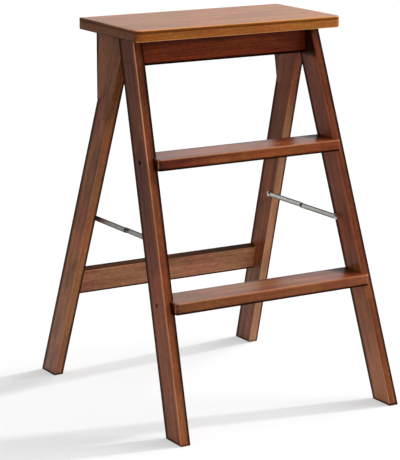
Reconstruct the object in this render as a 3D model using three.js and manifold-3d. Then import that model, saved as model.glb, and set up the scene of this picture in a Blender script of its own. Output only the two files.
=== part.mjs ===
// A folding step stool chair. A raked ladder front carries the seat, two treads and an apron,
// and a rear frame of two legs and a rail hangs on two elbow hinges and folds up against it.
// Two-link steel braces on the inner faces of the side frames hold the stool open.
// Millimetres, +Z up. The front faces -Y, and the origin lies on the floor
// under the middle of the stool's width and depth.

import * as THREE from "three";
import { mergeVertices } from "three/addons/utils/BufferGeometryUtils.js";
import Module from "manifold-3d";

const wasm = await Module();
wasm.setup();

// The whole stool
const overallHeight = 650;
const stanceWidth = 432; // outside the feet
const stanceDepth = 495; // front of the front feet to back of the rear feet
const topWidth = 365; // outside the side frames, right under the seat
const fitGap = 0.3; // hairline between pieces that touch
const cutOverrun = 2; // how far a cut runs past the face that it opens

// Side boards: the front stiles, the rear legs and the cheeks behind the legs' tops
const sideThickness = 18;
const stileWidth = 46;
const legWidth = 46;
const boardEasing = 2; // rounding along the boards' long edges
const elbowDrop = 35; // hinge axis below the seat's underside
const elbowOffset = 3; // hinge axis behind the middle of the stance
const cheekHeight = 114;
const cheekTopDepth = 51; // from the leg's back edge to the cheek's back edge, under the seat
const cheekTipDepth = 1.6; // what is left of the wedge at its lower end
const cheekThickness = 14.5; // flush with the leg outside, set back from it inside
const cheekEasing = 0.6;

// Seat board
const seatWidth = 400;
const seatDepth = 200;
const seatThickness = 19.5;
const seatFrontOverhang = 45; // past the stiles' front edges
const seatFrontCornerRadius = 10; // seen from above
const seatBackCornerRadius = 5;
const seatEasing = 3;

// Treads, housed in the stiles
const lowerTreadHeight = 220.4; // floor to the tread's top
const middleTreadHeight = 442.8;
const treadThickness = 19.5;
const treadNosing = 17; // past the stiles' front edges
const treadHousing = 3.5; // how deep its ends sit in the stiles
const treadBackInset = 0.5; // back edge kept in front of the stiles' back edges
const treadNoseRadius = 3;
const treadBackRadius = 1.5;
const treadCornerRadius = 5; // seen from above

// Apron under the seat's front
const apronHeight = 48;
const apronThickness = 18;
const apronSetback = 14; // behind the stiles' front edges, right under the seat
const apronEdgeRadius = 2.5;

// Rail between the rear legs, tilted as they are
const railHeight = 46;
const railThickness = 18;
const railMeetHeight = 179; // floor to where the rail's middle meets the legs' back edges
const railBackInset = 2.5; // back face in front of the legs' back edges
const railEdgeRadius = 2;

// Dowels
const dowelRadius = 4;
const dowelChamfer = 0.8;
const dowelCover = 7; // wood left outside a dowel that ends in a side board
const dowelReach = 19; // how far a dowel runs into a rail, an apron or a stile's top
const seatDowelCover = 8; // wood left above the dowel in the seat
const cheekDowelRadius = 3;
const cheekDowelReach = 12; // to each side of the glue line
const cheekDowelDrop = 17; // below the seat's underside

// Tread screws, sunk in the stiles' outer faces
const treadScrew = { headRadius: 3.4, headHeight: 2.2, shankRadius: 2, length: 38, tip: 5 };
const treadScrewSetback = 2; // behind the middle of the stile
const treadScrewSink = 3.2; // head's top below the stile's outer face
const treadScrewSocketRadius = 2; // hexagon recess, to its corners
const treadScrewSocketDepth = 1.4;

// Seat screws, driven up through the apron's lower edge
const seatScrew = { headRadius: 4, headHeight: 2.5, shankRadius: 2, length: 40, tip: 5 };
const seatScrewSpacing = 180;
const seatScrewCover = 7; // wood left above the screw's point in the seat

// Elbow hinges, let into the faces where the legs butt on the stiles
const knuckleRadius = 2.8;
const hingeWidth = 13;
const hingePinRadius = 1.2;
const leafThickness = 1.2;
const leafTopMargin = 8; // wood left above the leaf, along the stile
const hingeScrew = { headRadius: 2.6, headHeight: 1.5, shankRadius: 1.2, length: 14, tip: 3 };

// Braces
const braceHeight = 305.25; // end pivots above the floor, as a mean of both sides
const braceStagger = 1.75; // how much higher the right brace sits, and how much lower the left one
const braceFrontInset = 11.4; // front pivot ahead of the stile's back edge
const braceRearInset = 8.3; // rear pivot behind the leg's front edge
const linkHeight = 9;
const linkThickness = 1.8;
const linkEndReach = 6.2; // past the pivot
const linkEndRadius = 4.2;
const linkGrooveHeight = 3.4;
const linkGrooveDepth = 0.5;
const linkGrooveMargin = 12; // from the pivot to the groove's end
const braceScrew = { headRadius: 3.7, headHeight: 1.9, shankRadius: 1.9, length: 15, tip: 4 };
const braceWasherRadius = 4.2;
const braceWasherThickness = 1.4;
const rivetRadius = 1.9;
const rivetHeadRadius = 3.4;
const rivetHeadHeight = 1.3;
const rivetTailHeight = 0.7;
const crossLength = 3.8; // the cross recess in a round head
const crossWidth = 0.9;
const crossDepth = 1.1;

// Shares
const seatDowelShare = 0.2; // of the stile's depth, from its front, clear of the apron's dowels
const knuckleShares = [0.32, 0.68]; // where the middle knuckle begins and ends on the hinge
const hingeScrewShares = [0.38, 0.8]; // along the leaf
const railDowelShares = [-0.25, 0.25]; // of the rail's height, from its middle
const apronDowelShares = [-0.22, 0.22]; // of the apron's height, from its middle
const panCrownShare = 0.6; // a pan head's flat top, of its radius
const panBrimShare = 0.55; // a pan head's straight rim, of its height
const smallCrossShare = 0.7; // a hinge screw's recess, of a brace screw's

// Facets
const roundSegments = 16;
const smallSegments = 8;
const hexagonSegments = 6;
const cornerSegments = 4;
const easingSegments = 2;

const X = new THREE.Vector3(1, 0, 0);
const Y = new THREE.Vector3(0, 1, 0);
const Z = new THREE.Vector3(0, 0, 1);
const left = -1;
const right = 1;
const sides = [
  ["left", left],
  ["right", right],
];

const material = (color, roughness, metalness = 0) =>
  new THREE.MeshStandardMaterial({ color, roughness, metalness });
const seatWood = material(0xb0825f, 0.45);
const treadWood = material(0x87543a, 0.42);
const frameWood = material(0x6b3d27, 0.5);
const legWood = material(0x74462c, 0.5);
const dowelWood = material(0xc9a06c, 0.7);
const nickel = material(0xb9b8b2, 0.32, 1);
const hingeSteel = material(0x8f8a80, 0.4, 1);
const screwSteel = material(0x55524e, 0.45, 1);

// Where the boards lie. Heights are z, and depths are y, which grows towards the back.

const seatBottom = overallHeight - seatThickness;
const boardTop = seatBottom - fitGap;
const elbowZ = seatBottom - elbowDrop;
const elbowY = elbowOffset;
const splay = (stanceWidth - topWidth) / 2 / seatBottom;
const splayAngle = Math.atan(splay);
const outerAt = (z) => topWidth / 2 + splay * (seatBottom - z);
const innerAt = (z) => outerAt(z) - sideThickness / Math.cos(splayAngle);

// A board's lean from upright, when one edge starts at the outside of the stance
// and the other passes the hinge axis at the fit gap.
function leanOf(run, width) {
  const reach = Math.hypot(run, elbowZ);
  return Math.acos((width + fitGap) / reach) - Math.atan2(elbowZ, run);
}
const stileLean = leanOf(stanceDepth / 2 + elbowY, stileWidth);
const legLean = leanOf(stanceDepth / 2 - elbowY, legWidth);
const stileDepth = stileWidth / Math.cos(stileLean); // measured level
const legDepth = legWidth / Math.cos(legLean);
const stileFront = (z) => z * Math.tan(stileLean) - stanceDepth / 2;
const stileBack = (z) => stileFront(z) + stileDepth;
const legBack = (z) => stanceDepth / 2 - z * Math.tan(legLean);
const legFront = (z) => legBack(z) - legDepth;
const buttFace = (z) => stileBack(z) + (2 * fitGap) / Math.cos(stileLean);

// Solids

function asSolid(geometry) {
  const bare = new THREE.BufferGeometry();
  bare.setAttribute("position", geometry.getAttribute("position"));
  bare.setIndex(geometry.index);
  const merged = mergeVertices(bare);
  const vertProperties = new Float32Array(merged.getAttribute("position").array);
  const triVerts = new Uint32Array(merged.index.array);
  return new wasm.Manifold(new wasm.Mesh({ numProp: 3, vertProperties, triVerts }));
}

function asGeometry(solid) {
  const { numProp, vertProperties, triVerts } = solid.getMesh();
  const geometry = new THREE.BufferGeometry();
  const positions = new THREE.InterleavedBuffer(vertProperties, numProp);
  geometry.setAttribute("position", new THREE.InterleavedBufferAttribute(positions, 3, 0));
  geometry.setIndex(new THREE.BufferAttribute(triVerts, 1));
  const flat = geometry.toNonIndexed();
  flat.computeVertexNormals();
  return flat;
}

const cut = (geometry, ...cutters) =>
  asGeometry(cutters.reduce((solid, cutter) => solid.subtract(asSolid(cutter)), asSolid(geometry)));
const join = (geometry, ...others) =>
  asGeometry(others.reduce((solid, other) => solid.add(asSolid(other)), asSolid(geometry)));
const common = (geometry, other) => asGeometry(asSolid(geometry).intersect(asSolid(other)));

// An outline through corners given as [across, up, radius], each rounded by its radius.
function roundedOutline(corners) {
  const outline = new THREE.Shape();
  corners.forEach(([x, y, radius], i) => {
    const here = new THREE.Vector2(x, y);
    const before = new THREE.Vector2(...corners.at(i - 1)).sub(here).normalize();
    const after = new THREE.Vector2(...corners[(i + 1) % corners.length]).sub(here).normalize();
    const halfAngle = Math.acos(THREE.MathUtils.clamp(before.dot(after), -1, 1)) / 2;
    const reach = radius / Math.tan(halfAngle);
    const start = here.clone().addScaledVector(before, reach);
    const end = here.clone().addScaledVector(after, reach);
    if (i === 0) outline.moveTo(start.x, start.y);
    else outline.lineTo(start.x, start.y);
    if (radius > 0) outline.quadraticCurveTo(x, y, end.x, end.y);
  });
  outline.closePath();
  return outline;
}

// A board whose outline is drawn in depth and height, and whose faces follow two planes
// that give x for a height. The easing rounds the edges of both faces.
function board(outline, lowX, highX, thickness, easing) {
  const geometry = new THREE.ExtrudeGeometry(outline, {
    depth: thickness - 2 * easing,
    bevelEnabled: easing > 0,
    bevelThickness: easing,
    bevelSize: easing,
    bevelOffset: -easing,
    bevelSegments: easingSegments,
    curveSegments: cornerSegments,
  });
  const position = geometry.getAttribute("position");
  for (let i = 0; i < position.count; i += 1) {
    const y = position.getX(i);
    const z = position.getY(i);
    const share = (position.getZ(i) + easing) / thickness;
    position.setXYZ(i, lowX(z) + share * (highX(z) - lowX(z)), y, z);
  }
  return geometry;
}

// A board of a side frame, with its outer face in the splayed outer plane.
function sideBoard(side, corners, thickness, easing) {
  const slab = thickness / Math.cos(splayAngle);
  const outer = (z) => side * outerAt(z);
  const inner = (z) => side * (outerAt(z) - slab);
  const outline = roundedOutline(corners.map(([y, z]) => [y, z, 0]));
  return side === right
    ? board(outline, inner, outer, thickness, easing)
    : board(outline, outer, inner, thickness, easing);
}

// A board that runs from side frame to side frame, its ends this far inside the inner faces.
function crossBoard(corners, endGap) {
  const reach = (z) => innerAt(z) - endGap;
  return board(roundedOutline(corners), (z) => -reach(z), reach, 2 * innerAt(0), 0);
}

// A turned solid along local Z, from a profile of [radius, height] that starts and ends on the axis.
function turned(profile, segments) {
  const points = profile.map(([radius, height]) => new THREE.Vector2(radius, height));
  return new THREE.LatheGeometry(points, segments).rotateX(Math.PI / 2);
}

// A plain cylinder along local Z, from one height to another.
function rod(radius, low, high, segments = smallSegments) {
  const geometry = new THREE.CylinderGeometry(radius, radius, high - low, segments);
  return geometry.rotateX(Math.PI / 2).translate(0, 0, (low + high) / 2);
}

// A box between two corners.
function block(low, high) {
  const size = high.map((value, i) => value - low[i]);
  const middle = high.map((value, i) => (value + low[i]) / 2);
  return new THREE.BoxGeometry(...size).translate(...middle);
}

// Screws lie along local Z with the point down. A flat head's top is at height 0,
// and a pan head's underside is.

const flatHeadProfile = ({ headRadius, headHeight, shankRadius, length, tip }) => [
  [0, -length],
  [shankRadius, tip - length],
  [shankRadius, -headHeight],
  [headRadius, 0],
  [0, 0],
];

const panHeadProfile = ({ headRadius, headHeight, shankRadius, length, tip }) => [
  [0, -length],
  [shankRadius, tip - length],
  [shankRadius, 0],
  [headRadius, 0],
  [headRadius, headHeight * panBrimShare],
  [headRadius * panCrownShare, headHeight],
  [0, headHeight],
];

// The hole that a flat-headed screw's head and shank need, open past its head.
const flatHeadBore = ({ headRadius, headHeight, shankRadius, length }) =>
  turned(
    [
      [0, -length - fitGap],
      [shankRadius + fitGap, -length - fitGap],
      [shankRadius + fitGap, -headHeight - fitGap],
      [headRadius + fitGap, -fitGap],
      [headRadius + fitGap, cutOverrun],
      [0, cutOverrun],
    ],
    smallSegments,
  );

const shankBore = ({ shankRadius, length }, high = cutOverrun) =>
  rod(shankRadius + fitGap, -length - fitGap, high);

// A cross recess sunk from a head's top.
function crossed(geometry, top, scale) {
  const long = (crossLength * scale) / 2;
  const short = (crossWidth * scale) / 2;
  const low = top - crossDepth * scale;
  const high = top + cutOverrun;
  return cut(
    geometry,
    block([-long, -short, low], [long, short, high]),
    block([-short, -long, low], [short, long, high]),
  );
}

const dowel = (radius, low, high) =>
  turned(
    [
      [0, low],
      [radius - dowelChamfer, low],
      [radius, low + dowelChamfer],
      [radius, high - dowelChamfer],
      [radius - dowelChamfer, high],
      [0, high],
    ],
    smallSegments,
  );
const dowelBore = (radius, low, high) => rod(radius + fitGap, low - fitGap, high + fitGap);

// Places

// A pose whose local Z runs along one direction and local Y along another.
function pose(point, along, up) {
  const across = new THREE.Vector3().crossVectors(up, along);
  return new THREE.Matrix4().makeBasis(across, up, along).setPosition(point);
}

const upSide = (side) => new THREE.Vector3(-side * Math.sin(splayAngle), 0, Math.cos(splayAngle));
const inward = (side) => new THREE.Vector3(-side * Math.cos(splayAngle), 0, -Math.sin(splayAngle));
const outward = (side) => inward(side).negate();

// On a side frame's inner face, lifted off it by a distance, with local Z pointing inward.
function onInnerFace(side, y, z, lift) {
  const point = new THREE.Vector3(side * innerAt(z), y, z).addScaledVector(inward(side), lift);
  return pose(point, inward(side), upSide(side));
}

// On a side frame's outer face, sunk into it by a distance, with local Z pointing outward.
function onOuterFace(side, y, z, sink) {
  const point = new THREE.Vector3(side * outerAt(z), y, z).addScaledVector(inward(side), sink);
  return pose(point, outward(side), upSide(side));
}

const placed = (geometry, matrix) => geometry.clone().applyMatrix4(matrix);

// The scene graph

const stool = new THREE.Group();
const frontFrame = new THREE.Group();
const rearFrame = new THREE.Group();
stool.add(frontFrame, rearFrame);

function add(group, name, geometry, finish, matrix = new THREE.Matrix4()) {
  const mesh = new THREE.Mesh(geometry, finish);
  mesh.name = name;
  mesh.applyMatrix4(matrix);
  group.add(mesh);
  return mesh;
}

// Boards before their holes

const treadHeights = { lower: lowerTreadHeight, middle: middleTreadHeight };

// A tread's section. Its back edge is planed to the stiles' rake. Growth widens it for its housing.
function treadCorners(height, growth) {
  const top = height + growth;
  const bottom = height - treadThickness - growth;
  const front = stileFront(height) - treadNosing - growth;
  const back = (z) => stileBack(z) - treadBackInset + growth;
  return [
    [front, bottom, treadNoseRadius],
    [back(bottom), bottom, treadBackRadius],
    [back(top), top, treadBackRadius],
    [front, top, treadNoseRadius],
  ];
}

function treadBoard(height) {
  const bottom = height - treadThickness;
  const end = innerAt(bottom) + treadHousing;
  const front = stileFront(height) - treadNosing;
  const back = stileBack(height) + cutOverrun;
  const plan = roundedOutline([
    [-end, front, treadCornerRadius],
    [end, front, treadCornerRadius],
    [end, back, 0],
    [-end, back, 0],
  ]);
  const depth = treadThickness + 2 * cutOverrun;
  const column = new THREE.ExtrudeGeometry(plan, {
    depth,
    bevelEnabled: false,
    curveSegments: cornerSegments,
  }).translate(0, 0, bottom - cutOverrun);
  return common(crossBoard(treadCorners(height, 0), fitGap - treadHousing), column);
}

function seatBoard() {
  const front = stileFront(seatBottom) - seatFrontOverhang;
  const back = front + seatDepth;
  const half = seatWidth / 2;
  const plan = roundedOutline([
    [-half, front, seatFrontCornerRadius],
    [half, front, seatFrontCornerRadius],
    [half, back, seatBackCornerRadius],
    [-half, back, seatBackCornerRadius],
  ]);
  return new THREE.ExtrudeGeometry(plan, {
    depth: seatThickness - 2 * seatEasing,
    bevelThickness: seatEasing,
    bevelSize: seatEasing,
    bevelOffset: -seatEasing,
    bevelSegments: easingSegments + 1,
    curveSegments: cornerSegments,
  }).translate(0, 0, seatBottom + seatEasing);
}

const stileBoard = (side) =>
  sideBoard(
    side,
    [
      [stileFront(0), 0],
      [stileBack(0), 0],
      [stileBack(boardTop), boardTop],
      [stileFront(boardTop), boardTop],
    ],
    sideThickness,
    boardEasing,
  );

// The leg's front edge turns at the elbow and follows the stile's back edge up to the seat.
function legBoard(side) {
  const elbow = (legFront(0) - buttFace(0)) / (Math.tan(legLean) + Math.tan(stileLean));
  return sideBoard(
    side,
    [
      [legFront(0), 0],
      [legBack(0), 0],
      [legBack(boardTop), boardTop],
      [buttFace(boardTop), boardTop],
      [legFront(elbow), elbow],
    ],
    sideThickness,
    boardEasing,
  );
}

// A wedge on the leg's back edge that carries the seat's back half.
function cheekBoard(side) {
  const tip = seatBottom - cheekHeight;
  const seam = (z) => legBack(z) + fitGap / Math.cos(legLean);
  return sideBoard(
    side,
    [
      [seam(tip), tip],
      [seam(tip) + cheekTipDepth, tip],
      [legBack(boardTop) + cheekTopDepth, boardTop],
      [seam(boardTop), boardTop],
    ],
    cheekThickness,
    cheekEasing,
  );
}

const apronFront = stileFront(seatBottom) + apronSetback;
const apronMiddle = apronFront + apronThickness / 2;
const apronBottom = boardTop - apronHeight;
const apronBoard = () =>
  crossBoard(
    [
      [apronFront, apronBottom, apronEdgeRadius],
      [apronFront + apronThickness, apronBottom, apronEdgeRadius],
      [apronFront + apronThickness, boardTop, 0],
      [apronFront, boardTop, 0],
    ],
    fitGap,
  );

// The rail's section, in the directions along and across the rear legs.
const alongLeg = new THREE.Vector2(-Math.sin(legLean), Math.cos(legLean));
const acrossLeg = new THREE.Vector2(Math.cos(legLean), Math.sin(legLean));
const railCentre = new THREE.Vector2(legBack(railMeetHeight), railMeetHeight).addScaledVector(
  acrossLeg,
  -railBackInset - railThickness / 2,
);
function railPoint(along, across) {
  const point = railCentre.clone().addScaledVector(alongLeg, along);
  return point.addScaledVector(acrossLeg, across);
}
const railBoard = () =>
  crossBoard(
    [
      [-railHeight / 2, -railThickness / 2],
      [-railHeight / 2, railThickness / 2],
      [railHeight / 2, railThickness / 2],
      [railHeight / 2, -railThickness / 2],
    ].map(([along, across]) => [...railPoint(along, across), railEdgeRadius]),
    fitGap,
  );

// Every board's geometry, and the cutters that later take material from it.
const boards = {
  seat_board: seatBoard(),
  front_apron: apronBoard(),
  rear_rail: railBoard(),
};
for (const [tread, height] of Object.entries(treadHeights)) {
  boards[`${tread}_tread`] = treadBoard(height);
}
for (const [name, side] of sides) {
  boards[`${name}_front_stile`] = stileBoard(side);
  boards[`${name}_rear_leg`] = legBoard(side);
  boards[`${name}_rear_cheek`] = cheekBoard(side);
}
const cutters = Object.fromEntries(Object.keys(boards).map((name) => [name, []]));

// The treads' housings
for (const [name] of sides) {
  for (const height of Object.values(treadHeights)) {
    cutters[`${name}_front_stile`].push(crossBoard(treadCorners(height, fitGap), -treadHousing));
  }
}

// Dowels

function addDowel(group, name, radius, low, high, matrix, ...housed) {
  add(group, name, dowel(radius, low, high), dowelWood, matrix);
  const bore = placed(dowelBore(radius, low, high), matrix);
  housed.forEach((boardName) => cutters[boardName].push(bore));
}

const sideDowelDepth = sideThickness - dowelCover;
for (const [name, side] of sides) {
  const across = side === right ? X : X.clone().negate();
  railDowelShares.forEach((share, i) => {
    const { x: y, y: z } = railPoint(share * railHeight, 0);
    const matrix = pose(new THREE.Vector3(side * innerAt(z), y, z), across, Y);
    const label = `${name}_rail_dowel_${i + 1}`;
    addDowel(rearFrame, label, dowelRadius, -dowelReach, sideDowelDepth, matrix,
      "rear_rail", `${name}_rear_leg`);
  });
  apronDowelShares.forEach((share, i) => {
    const z = boardTop - apronHeight / 2 + share * apronHeight;
    const matrix = pose(new THREE.Vector3(side * innerAt(z), apronMiddle, z), across, Y);
    const label = `${name}_apron_dowel_${i + 1}`;
    addDowel(frontFrame, label, dowelRadius, -dowelReach, sideDowelDepth, matrix,
      "front_apron", `${name}_front_stile`);
  });
  const stileTop = new THREE.Vector3(
    side * (outerAt(seatBottom) - sideThickness / 2),
    stileFront(seatBottom) + seatDowelShare * stileDepth,
    seatBottom,
  );
  addDowel(frontFrame, `${name}_seat_dowel`, dowelRadius, -dowelReach,
    seatThickness - seatDowelCover, pose(stileTop, Z, Y), "seat_board", `${name}_front_stile`);

  const seamZ = seatBottom - cheekDowelDrop;
  const cheekMiddle = side * (outerAt(seamZ) - cheekThickness / 2);
  const seam = new THREE.Vector3(cheekMiddle, legBack(seamZ), seamZ);
  const intoCheek = new THREE.Vector3(0, acrossLeg.x, acrossLeg.y);
  addDowel(rearFrame, `${name}_cheek_dowel`, cheekDowelRadius, -cheekDowelReach,
    cheekDowelReach, pose(seam, intoCheek, X), `${name}_rear_leg`, `${name}_rear_cheek`);
}

// Tread screws

const socket = rod(treadScrewSocketRadius, treadScrew.headHeight - treadScrewSocketDepth,
  treadScrew.headHeight + cutOverrun, hexagonSegments);
const treadScrewBody = cut(turned(panHeadProfile(treadScrew), roundSegments), socket);
const headSeat = treadScrewSink + treadScrew.headHeight;
const counterbore = rod(treadScrew.headRadius + fitGap, -fitGap, headSeat + cutOverrun, roundSegments);
for (const [name, side] of sides) {
  for (const [tread, height] of Object.entries(treadHeights)) {
    const z = height - treadThickness / 2;
    const y = stileFront(z) + stileDepth / 2 + treadScrewSetback;
    const matrix = onOuterFace(side, y, z, headSeat);
    add(frontFrame, `${name}_${tread}_tread_screw`, treadScrewBody, screwSteel, matrix);
    const bore = placed(shankBore(treadScrew, 0), matrix);
    cutters[`${tread}_tread`].push(bore);
    cutters[`${name}_front_stile`].push(bore, placed(counterbore, matrix));
  }
}

// Seat screws

const seatScrewBody = crossed(
  turned(panHeadProfile(seatScrew), roundSegments),
  seatScrew.headHeight,
  1,
);
const seatScrewSeat = overallHeight - seatScrewCover - seatScrew.length;
for (const [name, side] of sides) {
  const point = new THREE.Vector3((side * seatScrewSpacing) / 2, apronMiddle, seatScrewSeat);
  const matrix = pose(point, Z.clone().negate(), Y);
  add(frontFrame, `${name}_seat_screw`, seatScrewBody, screwSteel, matrix);
  const bore = placed(shankBore(seatScrew, 0), matrix);
  const well = rod(seatScrew.headRadius + fitGap, -fitGap, seatScrewSeat - apronBottom + cutOverrun,
    roundSegments);
  cutters.front_apron.push(bore, placed(well, matrix));
  cutters.seat_board.push(bore);
}

// Elbow hinges. Local X is the hinge axis, local Y runs up the stile's back face,
// and local Z points forward into the stile.

const faceLength = elbowDrop / Math.cos(stileLean);
const leafLength = faceLength - leafTopMargin;
const knuckleEdges = knuckleShares.map((share) => (share - 1 / 2) * hingeWidth);
const hingeHalf = hingeWidth / 2;
const upStile = new THREE.Vector3(0, Math.sin(stileLean), Math.cos(stileLean));
const intoStile = new THREE.Vector3(0, -Math.cos(stileLean), Math.sin(stileLean));
const barrel = (radius, low, high) => rod(radius, low, high, roundSegments).rotateY(Math.PI / 2);

const middleKnuckle = [knuckleEdges];
const endKnuckles = [
  [-hingeHalf, knuckleEdges[0] - fitGap],
  [knuckleEdges[1] + fitGap, hingeHalf],
];

// One leaf with its own knuckles, cleared for the other leaf's knuckles, the pin and the screws.
function hingeLeaf(direction, ownKnuckles, otherKnuckles) {
  const faces = [direction * fitGap, direction * (fitGap + leafThickness)].sort((a, b) => a - b);
  const plate = block([-hingeHalf, 0, faces[0]], [hingeHalf, leafLength, faces[1]]);
  const ownBarrels = ownKnuckles.map(([low, high]) => barrel(knuckleRadius, low, high));
  const clearances = otherKnuckles.map(([low, high]) =>
    barrel(knuckleRadius + fitGap, low - fitGap, high + fitGap),
  );
  const pinBore = barrel(hingePinRadius + fitGap, -hingeHalf - cutOverrun, hingeHalf + cutOverrun);
  const bores = hingeScrewShares.map((share) =>
    placed(flatHeadBore(hingeScrew), hingeScrewMatrix(direction, share)),
  );
  return cut(join(cut(plate, ...clearances), ...ownBarrels), pinBore, ...bores);
}

// A hinge screw's place in the hinge's own frame: its head is flush with the leaf's face.
function hingeScrewMatrix(direction, share) {
  const point = new THREE.Vector3(0, share * leafLength, direction * fitGap);
  return pose(point, Z.clone().multiplyScalar(-direction), Y);
}

const hingeScrewBody = crossed(turned(flatHeadProfile(hingeScrew), smallSegments), 0, smallCrossShare);
const leaves = [
  ["front", 1, frontFrame, "front_stile", hingeLeaf(1, endKnuckles, middleKnuckle)],
  ["rear", -1, rearFrame, "rear_leg", hingeLeaf(-1, middleKnuckle, endKnuckles)],
];
for (const [name, side] of sides) {
  const centre = new THREE.Vector3(side * (outerAt(elbowZ) - sideThickness / 2), elbowY, elbowZ);
  const hinge = pose(centre, intoStile, upStile);
  const pin = barrel(hingePinRadius, -hingeHalf, hingeHalf);
  add(frontFrame, `${name}_elbow_pin`, pin, hingeSteel, hinge);
  for (const [end, direction, group, wood, leaf] of leaves) {
    const boardName = `${name}_${wood}`;
    add(group, `${name}_elbow_${end}_leaf`, leaf, hingeSteel, hinge);
    const depth = direction * (leafThickness + 2 * fitGap);
    const recess = block(
      [-hingeHalf - fitGap, 0, Math.min(depth, -direction * cutOverrun)],
      [hingeHalf + fitGap, leafLength + fitGap, Math.max(depth, -direction * cutOverrun)],
    );
    const notch = barrel(knuckleRadius + fitGap, -hingeHalf - fitGap, hingeHalf + fitGap);
    cutters[boardName].push(placed(recess, hinge), placed(notch, hinge));
    hingeScrewShares.forEach((share, i) => {
      const matrix = hinge.clone().multiply(hingeScrewMatrix(direction, share));
      add(group, `${name}_elbow_${end}_screw_${i + 1}`, hingeScrewBody, screwSteel, matrix);
      cutters[boardName].push(placed(flatHeadBore(hingeScrew), matrix));
    });
  }
}

// Braces. The rear link lies on a washer beside the leg, and the front link passes inside it,
// so it stands on a thicker spacer beside the stile. Each link carries its half of the rivet.

const frontPivotY = stileBack(braceHeight) - braceFrontInset;
const rearPivotY = legFront(braceHeight) + braceRearInset;
const linkLength = (rearPivotY - frontPivotY) / 2;
const rearLinkLift = braceWasherThickness + 2 * fitGap;
const frontLinkLift = rearLinkLift + linkThickness + fitGap;
const spacerThickness = frontLinkLift - 2 * fitGap;

// A link along local X from its end pivot at 0, with the groove on its inward face.
function brace(direction) {
  const pivot = direction * linkLength;
  const low = Math.min(0, pivot) - linkEndReach;
  const high = Math.max(0, pivot) + linkEndReach;
  const rise = linkHeight / 2;
  const outline = roundedOutline([
    [low, -rise, linkEndRadius],
    [high, -rise, linkEndRadius],
    [high, rise, linkEndRadius],
    [low, rise, linkEndRadius],
  ]);
  const flat = new THREE.ExtrudeGeometry(outline, {
    depth: linkThickness,
    bevelEnabled: false,
    curveSegments: cornerSegments,
  });
  const bores = [
    [0, braceScrew.shankRadius],
    [pivot, rivetRadius],
  ].map(([x, radius]) =>
    rod(radius + fitGap, -cutOverrun, linkThickness + cutOverrun, roundSegments).translate(x, 0, 0),
  );
  const groove = block(
    [low + linkEndReach + linkGrooveMargin, -linkGrooveHeight / 2, linkThickness - linkGrooveDepth],
    [high - linkEndReach - linkGrooveMargin, linkGrooveHeight / 2, linkThickness + cutOverrun],
  );
  return cut(flat, groove, ...bores);
}

const washer = (thickness) =>
  cut(
    rod(braceWasherRadius, 0, thickness, roundSegments),
    rod(braceScrew.shankRadius + fitGap, -cutOverrun, thickness + cutOverrun, roundSegments),
  );

// The rivet's half in the front link has the round head, and its half in the rear link the flat tail.
const rivetHead = turned(
  [
    [0, 0],
    [rivetRadius, 0],
    [rivetRadius, linkThickness + fitGap],
    [rivetHeadRadius, linkThickness + fitGap],
    [rivetHeadRadius * panCrownShare, linkThickness + fitGap + rivetHeadHeight],
    [0, linkThickness + fitGap + rivetHeadHeight],
  ],
  roundSegments,
);
const rivetTail = turned(
  [
    [0, -fitGap - rivetTailHeight],
    [rivetHeadRadius, -fitGap - rivetTailHeight],
    [rivetHeadRadius, -fitGap],
    [rivetRadius, -fitGap],
    [rivetRadius, linkThickness],
    [0, linkThickness],
  ],
  roundSegments,
);
const braceScrewBody = crossed(
  turned(panHeadProfile(braceScrew), roundSegments),
  braceScrew.headHeight,
  1,
);

for (const [name, side] of sides) {
  const height = braceHeight + side * braceStagger;
  const middleY = (frontPivotY + rearPivotY) / 2;
  const screwReach = linkThickness + fitGap;
  const halves = [
    ["front", frontFrame, frontPivotY, frontLinkLift, spacerThickness, "front_stile", rivetHead],
    ["rear", rearFrame, rearPivotY, rearLinkLift, braceWasherThickness, "rear_leg", rivetTail],
  ];
  for (const [end, group, pivotY, lift, spacer, wood, rivet] of halves) {
    const linkGroup = new THREE.Group();
    group.add(linkGroup);
    const towardsMiddle = side * Math.sign(pivotY - middleY);
    const pivot = onInnerFace(side, pivotY, height, lift);
    add(linkGroup, `${name}_brace_${end}_link`, brace(towardsMiddle), nickel, pivot);
    const middle = onInnerFace(side, middleY, height, lift);
    const rivetHalf = end === "front" ? "rivet_head" : "rivet_tail";
    add(linkGroup, `${name}_brace_${rivetHalf}`, rivet, nickel, middle);
    const bed = onInnerFace(side, pivotY, height, fitGap);
    add(group, `${name}_brace_${end}_spacer`, washer(spacer), nickel, bed);
    const screwSeat = onInnerFace(side, pivotY, height, lift + screwReach);
    add(group, `${name}_brace_${end}_screw`, braceScrewBody, nickel, screwSeat);
    cutters[`${name}_${wood}`].push(placed(shankBore(braceScrew, 0), screwSeat));
  }
}

// The boards, with their holes

const boardFinish = (name) => {
  if (name === "seat_board") return seatWood;
  if (name.endsWith("tread")) return treadWood;
  return name.includes("rear") ? legWood : frameWood;
};
for (const [name, geometry] of Object.entries(boards)) {
  const group = name.includes("rear") ? rearFrame : frontFrame;
  add(group, name, cut(geometry, ...cutters[name]), boardFinish(name));
}

export default stool;
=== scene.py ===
"""A folding step stool chair: smooth boards with rounded arrises, pressed steel braces and their
screws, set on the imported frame, with wood grain and metal finishes and a white studio floor.
Metres, +Z up, the front faces -Y."""

import bpy
import numpy as np
from mathutils import Matrix, Vector


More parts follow.
